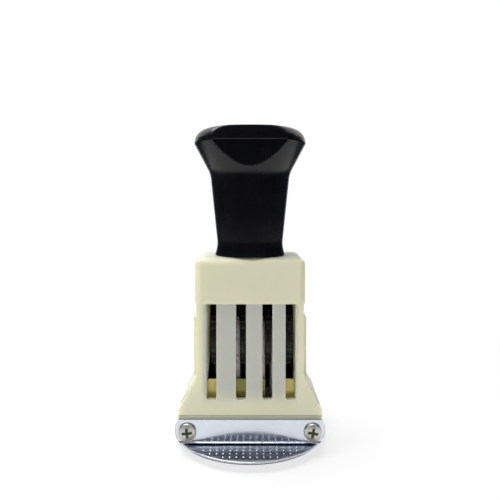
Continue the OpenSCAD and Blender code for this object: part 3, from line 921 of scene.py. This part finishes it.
@dataclass
class Handle:
    """Black turned knob: a tapered neck that spreads to a head with a sharp edge and a flat thumb face."""

    neck_r: float = 10.7 * MM
    neck_z: float = 4.0 * MM
    neck_top_r: float = 13.0 * MM
    head_r: float = 18.2 * MM
    edge_z: float = 36.2 * MM
    spread_z: float = 26.42 * MM
    lip_r: float = 12.0 * MM
    lip_z: float = 4.4 * MM
    shoulder_r: float = 4.1 * MM
    shoulder_in: float = 0.1 * MM
    shoulder_drop: float = 0.55 * MM
    blend_r: float = 8.0 * MM
    edge_soft: float = 0.25 * MM
    pole_r: float = 0.4 * MM
    thumb_face: float = 14.0 * MM
    thumb_lean: float = 0.8 * MM
    thumb_low: float = 12.0 * MM
    soft: float = 0.35 * MM
    crease: float = 0.07 * MM
    crease_w: float = 0.16 * MM

    def lower(self) -> list[np.ndarray]:
        """Outline (r, z) from the base up to the head's edge: base, lip, neck, bend and spreading cone.

        Returns:
            Runs of points by two. The last one ends short of the edge.
        """
        lean = math.atan2(self.neck_top_r - self.neck_r, self.spread_z - self.neck_z)
        wide = math.atan2(self.head_r - self.neck_top_r, self.edge_z - self.spread_z)
        run = self.blend_r * math.tan((wide - lean) / 2)
        centre = (self.neck_top_r - run * math.sin(lean) + self.blend_r * math.cos(lean),
                  self.spread_z - run * math.cos(lean) - self.blend_r * math.sin(lean))
        bend = corner_arc(centre, self.blend_r, 180 - math.degrees(lean), 180 - math.degrees(wide), 14)
        lip = corner_arc((self.neck_r + self.lip_r, self.lip_z), self.lip_r, 200, 180, 12)
        base = lip[0] - np.array([[0.15, 0.17], [0.02, 0.1]]) * MM
        base[0, 1] = 0.0
        neck = np.linspace(lip[-1], bend[0], 26)[1:-1]
        cone = np.linspace(bend[-1], [self.head_r, self.edge_z], 30)[1:-1]
        return [base, lip, neck, bend, cone]

    def profile(self, height: float) -> np.ndarray:
        """Outline (r, z) from the base up to the crown's middle, with the head's edge a short parabola.

        Args:
            height: Height of the handle.

        Returns:
            Points by two.
        """
        lower = self.lower()
        tip = np.array([self.head_r, self.edge_z])
        inner = np.array([self.head_r - self.shoulder_in, height - self.shoulder_drop]) - self.shoulder_r
        crown = corner_arc(inner, self.shoulder_r, 8, 80, 20)
        ways = np.array([lower[-2][-1], crown[0]]) - tip
        start, stop = tip + self.edge_soft * ways / np.linalg.norm(ways, axis=1, keepdims=True)
        t = np.linspace(0, 1, 7)[:, None]
        edge = (1 - t) ** 2 * start + 2 * t * (1 - t) * tip + t ** 2 * stop
        side = np.linspace(edge[-1], crown[0], 16)[1:-1]
        r, z = crown[-1]
        rise = np.sin(np.linspace(0, np.pi / 2, 26))
        top = np.stack([np.linspace(r, self.pole_r, 26), z + (height - z) * rise], -1)[1:]
        return np.concatenate([*lower, edge, side, crown, top])

    def build(self) -> None:
        """Makes the knob: the radius is the smooth least of the turned profile and the thumb face's plane.

        The smooth least of p and q with softness k is (p + q - sqrt((p - q) squared + k squared)) / 2.
        """
        low, high = span("handle")
        height = float(high[2] - low[2])
        r, z = np.split(self.profile(height), 2, axis=1)
        angles = around(360)
        front = -np.sin(angles)
        back = self.thumb_lean * np.clip((z - self.edge_z) / (height - self.edge_z), 0, 1)
        crease = self.crease * np.exp(-((z - self.edge_z) / self.crease_w) ** 2)
        plane = (self.thumb_face - back + crease) / np.maximum(front, 0.2)
        soft = self.soft * (z > self.thumb_low)
        least = 0.5 * (r + plane - np.sqrt((r - plane) ** 2 + soft ** 2))
        radius = np.minimum(np.where(front > 0.2, least, r), r)
        points = np.stack([radius * np.cos(angles), radius * np.sin(angles) + axle()[1],
                           z + low[2] + 0 * angles], -1)
        item = Surface().grid(points, caps=True).build("handle_knob", 60.0)
        dress(item, HANDLE_BLACK, "stamp", "handle")


@dataclass
class RoundedNode:
    """A moulded or folded piece whose CAD shape stays, with its edges rounded as real edges are."""

    node: str
    finish: Finish
    edge: float
    seam_y: float = math.nan
    seam_edge: float = 0.08 * MM
    segments: int = 3
    least_turn: float = 25.0
    flat_turn: float = 0.6
    sharp: float = 36.0

    def round_edges(self, work: bmesh.types.BMesh, offset: float, at_seam: bool) -> None:
        """Rounds the edges that turn enough, either those in the seam's plane or all the others.

        Args:
            work: Mesh to work on.
            offset: Width of the rounding.
            at_seam: Whether to take the edges in the seam's plane.
        """
        edges = [e for e in work.edges
                 if len(e.link_faces) == 2 and e.calc_face_angle(0) > math.radians(self.least_turn)
                 and all(abs(v.co.y - self.seam_y) < NEAR for v in e.verts) == at_seam]
        if edges:
            bmesh.ops.bevel(work, geom=edges, offset=offset, offset_type="OFFSET", segments=self.segments,
                            profile=0.5, affect="EDGES", clamp_overlap=True)

    def build(self) -> None:
        """Makes the piece from a merged copy of its CAD mesh.

        Edges in the plane where it meets its other half are rounded less.
        """
        work = bmesh.new()
        work.from_mesh(frame["nodes"][self.node].data)
        bmesh.ops.remove_doubles(work, verts=work.verts, dist=NEAR)
        bmesh.ops.dissolve_limit(work, angle_limit=math.radians(self.flat_turn), verts=work.verts,
                                 edges=work.edges)
        bmesh.ops.recalc_face_normals(work, faces=work.faces)
        self.round_edges(work, self.edge, False)
        self.round_edges(work, self.seam_edge, True)
        bmesh.ops.triangulate(work, faces=work.faces, quad_method="BEAUTY", ngon_method="BEAUTY")
        name = f"{self.node}_rounded"
        mesh = bpy.data.meshes.new(name)
        work.to_mesh(mesh)
        work.free()
        item = finished_object(mesh, name, self.sharp)
        even = item.modifiers.new("even", "WEIGHTED_NORMAL")
        even.keep_sharp = True
        even.weight = 100
        evaluated = item.evaluated_get(bpy.context.evaluated_depsgraph_get())
        item.data = bpy.data.meshes.new_from_object(evaluated)
        item.modifiers.clear()
        dress(item, self.finish, "stamp", self.node)


# A letter's strokes in a unit box: a list is a chain of straight strokes from point to point, and a tuple is
# an arc: its centre, its two radii, and its first and last angle in degrees.
GLYPHS: dict[str, tuple] = {
    "0": ((.5, .5, .5, .5, 0, 360),),
    "1": ([(.6, 0), (.6, 1), (.25, .78)],),
    "2": ((.5, .71, .47, .29, 168, -32), [(.9, .557), (.03, 0), (1, 0)]),
    "3": ((.46, .745, .42, .255, 150, -88), (.48, .25, .5, .25, 88, -150)),
    "4": ([(.74, 0), (.74, 1), (0, .3), (1, .3)],),
    "5": ([(.92, 1), (.14, 1), (.08, .55)], (.47, .32, .5, .32, 138, -145)),
    "6": ((.5, .3, .48, .3, 0, 360), (.7, .3, .68, .7, 102, 180)),
    "7": ([(0, 1), (1, 1), (.35, 0)],),
    "8": ((.5, .755, .38, .245, 0, 360), (.5, .26, .48, .26, 0, 360)),
    "9": ((.5, .7, .48, .3, 0, 360), (.3, .7, .68, .7, -78, 0)),
    "A": ([(0, 0), (.5, 1), (1, 0)], [(.2, .34), (.8, .34)]),
    "B": ([(.45, 0), (0, 0), (0, 1), (.42, 1)], [(0, .52), (.45, .52)], (.42, .76, .48, .24, 90, -90),
          (.45, .26, .52, .26, 90, -90)),
    "C": ((.54, .5, .54, .5, 48, 312),),
    "D": ([(.4, 0), (0, 0), (0, 1), (.4, 1)], (.4, .5, .6, .5, 90, -90)),
    "E": ([(.95, 1), (0, 1), (0, 0), (.95, 0)], [(0, .52), (.8, .52)]),
    "F": ([(.95, 1), (0, 1), (0, 0)], [(0, .52), (.8, .52)]),
    "G": ((.54, .5, .54, .5, 48, 335), [(.6, .44), (1, .44), (1, .08)]),
    "J": ([(.8, 1), (.8, .3)], (.42, .3, .38, .3, 0, -172)),
    "L": ([(0, 1), (0, 0), (.9, 0)],),
    "M": ([(0, 0), (0, 1), (.5, .3), (1, 1), (1, 0)],),
    "N": ([(0, 0), (0, 1), (1, 0), (1, 1)],),
    "O": ((.5, .5, .5, .5, 0, 360),),
    "P": ([(0, 0), (0, 1), (.45, 1)], [(0, .46), (.45, .46)], (.45, .73, .52, .27, 90, -90)),
    "R": ([(0, 0), (0, 1), (.45, 1)], [(0, .46), (.45, .46)], (.45, .73, .52, .27, 90, -90),
          [(.45, .46), (1, 0)]),
    "S": ((.5, .745, .45, .255, 28, 268), (.5, .25, .48, .25, 88, -152)),
    "T": ([(0, 1), (1, 1)], [(.5, 1), (.5, 0)]),
    "U": ([(0, 1), (0, .35)], (.5, .35, .5, .35, 180, 360), [(1, .35), (1, 1)]),
    "V": ([(0, 1), (.5, 0), (1, 1)],),
    "Y": ([(0, 1), (.5, .48), (1, 1)], [(.5, .48), (.5, 0)]),
}


@dataclass
class TypeBand:
    """Endless rubber band with a row of raised mirrored type at each position."""

    node: str
    rows: Sequence[str]
    letter_w: float
    letter_gap: float = 0.0
    thick: float = 1.0 * MM
    corner: float = 0.16 * MM
    relief: float = 0.8 * MM
    root: float = 0.45 * MM
    size: float = 3.2 * MM
    stroke: float = 0.46 * MM
    stroke_end: float = 0.42
    arc_step: float = 22.0
    loop_r: float = 5.2 * MM
    platen_z: float = 6.0 * MM
    belt_rows: int = 220

    def run(self) -> np.ndarray:
        """The way (y, z) from the platen's axis to the axle."""
        return axle()[1:] - [0.0, self.platen_z]

    def length(self) -> float:
        """Length of the outer face."""
        return 2 * float(np.linalg.norm(self.run())) + 2 * math.pi * self.loop_r

    def path(self, s: np.ndarray) -> tuple[np.ndarray, np.ndarray]:
        """The band's outer face: half rounds about the platen and the axle, joined by straight runs.

        Args:
            s: Distances along it from its lowest point, towards the back.

        Returns:
            Points (y, z) and outward directions (y, z).
        """
        way = self.run()
        run = float(np.linalg.norm(way))
        lean = math.atan2(-way[0], way[1])
        quarter = math.pi * self.loop_r / 2
        s = np.mod(s - self.loop_r * lean, self.length())
        ends = np.cumsum([0, quarter, run, 2 * quarter, run, quarter])
        angle = np.interp(s, ends, [-90, 0, 0, 180, 180, 270])
        climb = np.interp(s, ends, [0, 0, run, run, 0, 0])
        out = rays(np.radians(angle) + lean)
        up = np.array([-math.sin(lean), math.cos(lean)])
        return [0.0, self.platen_z] + climb[..., None] * up + self.loop_r * out, out

    def belt(self, low: float, high: float) -> Surface:
        """The band itself: a rectangle with round corners carried along the path.

        Args:
            low: Left edge.
            high: Right edge.

        Returns:
            The closed surface.
        """
        r = self.corner
        corners = ((high - r, -r), (low + r, -r), (low + r, r - self.thick), (high - r, r - self.thick))
        section = np.concatenate([corner_arc(c, r, 90 * i, 90 * i + 90, 4) for i, c in enumerate(corners)])
        at, out = self.path(np.linspace(0, self.length(), self.belt_rows, endpoint=False))
        flat = at[:, None] + section[None, :, 1:] * out[:, None]
        points = np.concatenate([np.broadcast_to(section[None, :, :1], flat.shape[:2] + (1,)), flat], -1)
        return Surface().grid(points[:, ::-1], ring=True)

    def strokes(self, text: str) -> list[np.ndarray]:
        """Centre lines of a row of type, as it prints.

        Args:
            text: The row's characters.

        Returns:
            Lines of points by two, in metres about the row's middle.
        """
        lines: list[np.ndarray] = []
        box = np.array([self.letter_w, self.size]) - self.stroke
        pitch = self.letter_w + self.letter_gap
        for i, letter in enumerate(text):
            shift = [(i - (len(text) - 1) / 2) * pitch, 0.0] - box / 2
            for part in GLYPHS[letter]:
                if isinstance(part, list):
                    ends = np.array(part) * box + shift
                    lines += [ends[k:k + 2] for k in range(len(ends) - 1)]
                else:
                    cx, cy, rx, ry, start, stop = part
                    count = 3 + int(abs(stop - start) / self.arc_step)
                    arc = [cx, cy] + rays(np.radians(np.linspace(start, stop, count))) * [rx, ry]
                    lines.append(arc * box + shift)
        return lines

    def bar(self, line: np.ndarray, closed: bool) -> np.ndarray:
        """A stroke: a section with sloping sides carried along its centre line.

        Args:
            line: Centre line, points by two.
            closed: Whether the line ends where it starts.

        Returns:
            Grid of points (along the text, up the text, height over the band).
        """
        step = np.gradient(line, axis=0)
        step /= np.linalg.norm(step, axis=1, keepdims=True)
        path = line.copy()
        if not closed:
            path[0] -= step[0] * self.stroke * self.stroke_end
            path[-1] += step[-1] * self.stroke * self.stroke_end
        side = np.stack([-step[:, 1], step[:, 0]], -1)
        h, w = self.relief, self.stroke / 2
        half = np.array([[1.35 * w, -self.root], [1.25 * w, 0.1 * h], [w, 0.9 * h], [0.72 * w, h]])
        section = np.concatenate([half * [-1, 1], half[::-1]])
        flat = path[:, None] + section[None, :, :1] * side[:, None]
        grid = np.concatenate([flat, np.broadcast_to(section[None, :, 1:], flat.shape[:2] + (1,))], -1)
        return grid[:-1] if closed else grid

    def build(self) -> None:
        """Makes the band and its type. A row prints from +X to -X with its top to the front."""
        low, high = span(self.node)
        surface = self.belt(float(low[0]), float(high[0]))
        middle = float(low[0] + high[0]) / 2
        at, out = self.path(np.arange(len(self.rows)) * self.length() / len(self.rows))
        for text, place, normal in zip(self.rows, at, out):
            along = np.array([normal[1], -normal[0]])
            for line in self.strokes(text):
                closed = bool(np.linalg.norm(line[0] - line[-1]) < NEAR)
                bar = self.bar(line, closed)
                flat = place + bar[..., 1:2] * along + bar[..., 2:] * normal
                points = np.concatenate([middle - bar[..., :1], flat], -1)
                raised = np.clip(bar[..., 2] / self.relief, 0, 1)
                surface.grid(points, ring=closed, caps=not closed, mark=raised)
        item = surface.build(f"{self.node}_type", 35.0)
        work = bmesh.new()
        work.from_mesh(item.data)
        bmesh.ops.recalc_face_normals(work, faces=work.faces)
        work.to_mesh(item.data)
        work.free()
        dress(item, RUBBER, "stamp", self.node)


@dataclass
class ThumbWheel:
    """Notched thumb wheel with the drum that carries its band. Its rim is at the left end or the right."""

    node: str
    rim_right: bool = False
    rim_t: float = 1.7 * MM
    rim_r: float = 9.1 * MM
    drum_r: float = 4.05 * MM
    bore_r: float = 1.3 * MM
    edge: float = 0.14 * MM
    notches: int = 24
    notch: float = 0.5 * MM
    notch_full: float = 0.75 * MM
    notch_end: float = 1.1 * MM
    notch_steps: int = 12

    def half(self, face: float, drum: float, inward: int) -> np.ndarray:
        """Half of the wheel's section (r, x, share of the notch), from the bore out to the rim's middle.

        Args:
            face: Place of the rim's face on this side.
            drum: Place of the drum's end on this side.
            inward: 1 if +X goes into the rim from this face, or -1.

        Returns:
            Points by three.
        """
        bore, core, rim, e = self.bore_r, self.drum_r, self.rim_r, self.edge
        points = [(bore, face, 0), (core, face, 0)]
        if inward * (face - drum) > NEAR:
            points = [(bore, drum, 0), (core - e, drum, 0), (core, drum + inward * e, 0), (core, face, 0)]
        points += [(rim - self.notch_end, face, 0), (rim - self.notch_full, face, 1), (rim - e, face, 1),
                   (rim - 0.3 * e, face + inward * 0.3 * e, 1), (rim, face + inward * e, 1)]
        return np.array(points)

    def build(self) -> None:
        """Makes the wheel: its rim's radius dips by a rounded pulse at each notch."""
        low, high = (float(corner[0]) for corner in span(self.node))
        left = high - self.rim_t if self.rim_right else low
        section = np.concatenate([self.half(left, low, 1), self.half(left + self.rim_t, high, -1)[::-1]])
        r, x, share = np.split(section, 3, axis=1)
        angles = around(self.notches * self.notch_steps)
        wave = np.clip(0.5 - 1.4 * np.cos(self.notches * angles), 0, 1)
        room = np.maximum(r - (self.rim_r - self.notch_end), 0)
        r = r - np.minimum(share * self.notch * wave, room)
        _, y, z = axle()
        points = np.stack([x + 0 * r, y + r * np.cos(angles), z + r * np.sin(angles)], -1)
        item = Surface().grid(points[:, ::-1], ring=True).build(f"{self.node}_rim", 32.0)
        dress(item, WHEEL_BLACK, self.node, self.node)


@dataclass
class PanScrews:
    """Cross-head pan screws in the bracket's flanges, each turned a little further than the last."""

    side_x: float = 19.1 * MM
    rise: float = 4.3 * MM
    head_r: float = 2.75 * MM
    head_h: float = 1.15 * MM
    dome_h: float = 0.4 * MM
    dome_in: float = 0.35 * MM
    round_r: float = 0.36 * MM
    shank_r: float = 1.5 * MM
    shank_l: float = 8.0 * MM
    arm_half_w: float = 0.32 * MM
    arm_l: float = 1.45 * MM
    core_r: float = 0.62 * MM
    cross_soft: float = 0.16 * MM
    cross_deep: float = 1.35 * MM
    cross_taper: float = 0.35
    core_deep: float = 0.15 * MM
    cross_turn: float = 0.4
    first_turn: float = 0.5
    next_turn: float = 1.3

    def within(self, limit: float, distance: np.ndarray) -> np.ndarray:
        """1 within a limit and 0 past it, with a soft edge between."""
        return np.clip((limit - distance) / self.cross_soft + 0.5, 0, 1)

    def dome(self, r: "np.ndarray | float") -> "np.ndarray | float":
        """Height of the plain head at a radius: it falls with the radius squared."""
        return self.head_h - self.dome_h * (r / self.head_r) ** 2

    def screw(self) -> Surface:
        """One screw along Z: a domed head with a tapering cross pressed into it, on a plain shank.

        Height over the flange is the dome's, less the cross: two crossed bars with soft edges.

        Returns:
            The closed surface.
        """
        angles = around(72)
        dome_r = self.head_r - self.dome_in
        r = np.linspace(0.06, 1, 26)[:, None] * dome_r
        a, b = (np.abs(r * wave(angles + self.cross_turn)) for wave in (np.cos, np.sin))
        cross = np.maximum(self.within(self.arm_half_w, a) * self.within(self.arm_l, b),
                           self.within(self.arm_half_w, b) * self.within(self.arm_l, a))
        core = self.within(self.core_r, r)
        depth = cross * (self.cross_deep - self.cross_taper * r) + core * self.core_deep
        top = np.stack([r * np.cos(angles), r * np.sin(angles), self.dome(r) - np.maximum(depth, 0)], -1)
        shoulder = (self.head_r - self.round_r, self.dome(dome_r) - 0.34 * MM)
        side = np.concatenate([
            corner_arc(shoulder, self.round_r, 78, 0, 6),
            [[self.head_r, 0.12 * MM], [self.head_r - 0.06 * MM, 0.0], [self.shank_r, 0.0],
             [self.shank_r, -self.shank_l], [0.05 * MM, -self.shank_l]]])
        points = np.concatenate([top, turned(side, angles)])
        mark = np.concatenate([np.maximum(cross, core), np.zeros((len(side), len(angles)))])
        return Surface().grid(points[::-1], caps=True, mark=mark[::-1])

    def build(self) -> None:
        """Makes all the screws, with their heads out of the front and the back flange."""
        low, high = span("bracket")
        turns, moves = [], []
        for face, y in ((-1.0, low[1]), (1.0, high[1])):
            out = np.array([[-face, 0, 0], [0, 0, face], [0, 1, 0]])
            for side in (-1, 1):
                angle = self.first_turn + self.next_turn * len(turns)
                c, s = math.cos(angle), math.sin(angle)
                turns.append(out @ np.array([[c, -s, 0], [s, c, 0], [0, 0, 1]]))
                moves.append((side * self.side_x, y, low[2] + self.rise))
        item = self.screw().copies(np.array(turns), np.array(moves)).build("bracket_screw_heads", 40.0)
        dress(item, SCREW, "stamp", "bracket_screws")


@dataclass
class Backcloth:
    """Dark cloth round the front and a graded card below the floor, seen only in reflections.

    The photograph's black and metal show the like. The cloth is part of a cone about the object.
    """

    foot_half: float = 154.0
    top_half: float = 112.0
    narrowing: Pair = (0.12, 0.37)
    foot_r: float = 0.17
    spread: float = 0.78
    side_room: float = 0.06
    foot_z: float = 0.004
    height: float = 0.90
    cloth: Colour = tone(40, 46, 60)
    card_half: float = 1.2
    card_z: float = -0.5
    card_fade: Pair = (-0.10, 0.24)
    card_front: Colour = (0.25, 0.24, 0.215)
    card_back: Colour = (0.93, 0.92, 0.93)

    def mesh(self) -> Surface:
        """The cloth, whose radius grows with the height and to the sides, then the card as the last face.

        Returns:
            The open surface.
        """
        rise = np.linspace(0.0, 1.0, 17)[:, None]
        half = np.radians(np.interp(rise, self.narrowing, [self.foot_half, self.top_half]))
        aside = half * np.linspace(-1.0, 1.0, 57)
        turn = aside - np.pi / 2
        radius = self.foot_r + self.spread * rise + self.side_room * (1 - np.cos(aside))
        z = self.foot_z + self.height * rise + 0 * turn
        points = np.stack([radius * np.cos(turn), radius * np.sin(turn), z], -1)
        ids = np.arange(z.size).reshape(z.shape)
        quads = np.stack([ids[:-1, :-1], ids[1:, :-1], ids[1:, 1:], ids[:-1, 1:]], -1)
        corners = np.array([[-1, -1, 0], [1, -1, 0], [1, 1, 0], [-1, 1, 0]]) * self.card_half
        surface = Surface()
        surface.patch(points.reshape(-1, 3), quads.reshape(-1, 4))
        surface.patch(corners + [0, 0, self.card_z], np.arange(4)[None])
        return surface

    def build(self) -> None:
        """Makes both as one flat-shaded object that only reflections show."""
        item = self.mesh().build("dark_cloth", 0.0)
        dark = Shader(bpy.data.materials.new("dark_cloth"))
        dark.finish(Base_Color=self.cloth, Roughness=1.0, Specular_IOR_Level=0.0)
        card = Shader(bpy.data.materials.new("grey_card"))
        back = card.axes(card.place())[1].step(*self.card_fade)
        card.finish(Base_Color=tone(0, 0, 0), Specular_IOR_Level=0.0, Emission_Strength=1.0,
                    Emission_Color=card.mix(back, self.card_front, self.card_back))
        item.data.materials.append(dark.owner)
        item.data.materials.append(card.owner)
        item.data.polygons[len(item.data.polygons) - 1].material_index = 1
        item.visible_camera = item.visible_diffuse = item.visible_shadow = item.visible_transmission = False


@dataclass(frozen=True)
class Lamp:
    """A soft square lamp that faces the object, with its power in watts. Reflections show it if mirrored."""

    name: str
    place: tuple[float, float, float]
    width: float
    power: float
    mirrored: bool = False
    target: tuple[float, float, float] = (0.0, 0.0, 0.05)

    def build(self) -> None:
        """Puts the lamp into the scene."""
        data = bpy.data.lights.new(self.name, "AREA")
        data.shape = "SQUARE"
        data.size = self.width
        data.energy = self.power
        item = placed(self.name, data)
        aim = np.array(self.target) - self.place
        aim /= np.linalg.norm(aim)
        item.visible_glossy = self.mirrored
        item.location = self.place
        item.rotation_euler = (math.acos(-aim[2]), 0.0, math.atan2(aim[0], -aim[1]) + math.pi)


@dataclass
class Studio:
    """Floor, background, lamps and camera."""

    lamps: tuple[Lamp, ...] = (
        Lamp("top_light", (-0.2, 0.02, 0.75), 0.6, 7.2, True),
        Lamp("left_light", (-0.6, -0.35, 0.35), 0.4, 0.8),
        Lamp("front_light", (0.02, -0.75, 0.11), 0.30, 0.94),
        Lamp("back_light", (0.2, 0.75, 0.3), 0.4, 1.3),
        Lamp("low_light", (0.1, -0.28, -0.45), 0.3, 1.7))
    floor_rings: tuple[float, ...] = (3.0, 0.5, 0.15, 0.06, 0.03, 0.01, 0.0001)
    shadow_fade: Pair = (0.04, 0.2)
    glow_near: float = 0.70
    clear: Pair = (24.6 * MM, FINE)
    mirror_clear: Pair = (31.0 * MM, FINE)
    sky_light: Colour = (0.215, 0.22, 0.225)
    camera_at: tuple[float, float, float] = (0.0, -0.1657, 0.0768)
    lens: float = 35.5
    shift_y: float = -0.09

    def floor(self) -> None:
        """Lays a pale floor that looks white, keeps the object's shadow and is clear from below.

        Right under the plate it also lets light and reflections through, so that the underside is lit.
        """
        rings = np.array(self.floor_rings)
        plane = Surface().grid(turned(np.stack([rings, 0 * rings], -1), around(96))).build("floor")
        shader = Shader(bpy.data.materials.new("floor_pale"))
        shader.finish(Base_Color=tone(246, 246, 246), Roughness=0.9, Specular_IOR_Level=0.0)
        matt = Wire(shader, shader.surface.outputs[0])
        glow = shader.add("ShaderNodeEmission", None, {"Color": WHITE, "Strength": 1.0})
        reach = shader.add("ShaderNodeVectorMath", {"operation": "LENGTH"}, {0: shader.place()}, "Value")
        far = reach.step(*self.shadow_fade) * (1.0 - self.glow_near) + self.glow_near
        lit = shader.add("ShaderNodeMixShader", None, {0: far * shader.shown(), 1: matt, 2: glow})
        camera = shader.add("ShaderNodeLightPath", output="Is Camera Ray")
        opening = reach.under(*self.clear) * (1.0 - camera)
        opening = opening.most(reach.under(*self.mirror_clear) * camera.also("Is Glossy Ray"))
        opening = opening.most(shader.add("ShaderNodeNewGeometry", output="Backfacing"))
        through = shader.add("ShaderNodeBsdfTransparent")
        both = shader.add("ShaderNodeMixShader", None, {0: opening, 1: lit, 2: through})
        output = next(n for n in shader.tree.nodes if n.type == "OUTPUT_MATERIAL")
        shader.tree.links.new(both.socket, output.inputs["Surface"])
        plane.data.materials.append(shader.owner)

    def sky(self) -> None:
        """Makes the background white to the camera and in reflections, and softer as a light."""
        world = bpy.data.worlds.new("studio")
        bpy.context.scene.world = world
        shader = Shader(world)
        shader.finish(Color=shader.mix(shader.shown(), self.sky_light, WHITE))

    def camera(self) -> None:
        """Stands the camera where the photograph's was, level, with a small shift for the framing."""
        data = bpy.data.cameras.new("camera")
        data.sensor_width = 36.0
        data.lens = self.lens
        data.shift_y = self.shift_y
        data.clip_start = 5 * MM
        item = placed("camera", data)
        item.location = self.camera_at
        item.rotation_euler = (math.pi / 2, 0, 0)
        bpy.context.scene.camera = item

    def build(self) -> None:
        """Sets everything up."""
        bpy.context.scene.view_settings.view_transform = "Standard"
        self.floor()
        Backcloth().build()
        self.sky()
        for lamp in self.lamps:
            lamp.build()
        self.camera()


PLAIN: dict[Slot, Finish] = {
    f.slot: f for f in (PLATED, SCREW, YELLOW, PALE, HANDLE_BLACK, WHEEL_BLACK, IVORY, RUBBER)}
MONTHS = ("DEC", "JAN", "FEB", "MAR", "APR", "MAY", "JUN", "JUL", "AUG", "SEP", "OCT", "NOV")
YEARS = tuple(str(2011 + i) for i in range(12))
DAY_TENS = tuple("230123012301")
DAY_UNITS = tuple("234567890123")


def dress_plain_nodes() -> None:
    """Gives the finish of its slot to each CAD node, which shows where the node's shape stays."""
    for part in frame["record"]["subparts"]:
        item = frame["nodes"][part["node"]]
        item.data.materials.clear()
        item.data.materials.append(PLAIN[Slot(part["material_slot"])].material())


def main() -> None:
    """Builds the whole scene."""
    logging.basicConfig(level=logging.INFO, format="%(name)s: %(message)s")
    dress_plain_nodes()
    seam_y = float(span("back_shell")[0][1])
    shells = [RoundedNode(node, IVORY, 0.32 * MM, seam_y) for node in ("front_shell", "back_shell")]
    pieces = (
        Plate(), Handle(), *shells,
        RoundedNode("bracket", PLATED, 0.10 * MM), RoundedNode("shell_screws", SCREW, 0.10 * MM),
        RoundedNode("band_frame", YELLOW, 0.08 * MM),
        TypeBand("year_band", YEARS, 1.5 * MM, 0.18 * MM),
        TypeBand("month_band", MONTHS, 1.65 * MM, 0.2 * MM),
        TypeBand("day_tens_band", DAY_TENS, 1.75 * MM), TypeBand("day_units_band", DAY_UNITS, 1.75 * MM),
        ThumbWheel("year_wheel"), ThumbWheel("month_wheel"), ThumbWheel("day_tens_wheel"),
        ThumbWheel("day_units_wheel", True), PanScrews(), Studio())
    for piece in pieces:
        piece.build()


if __name__ == "__main__":
    main()
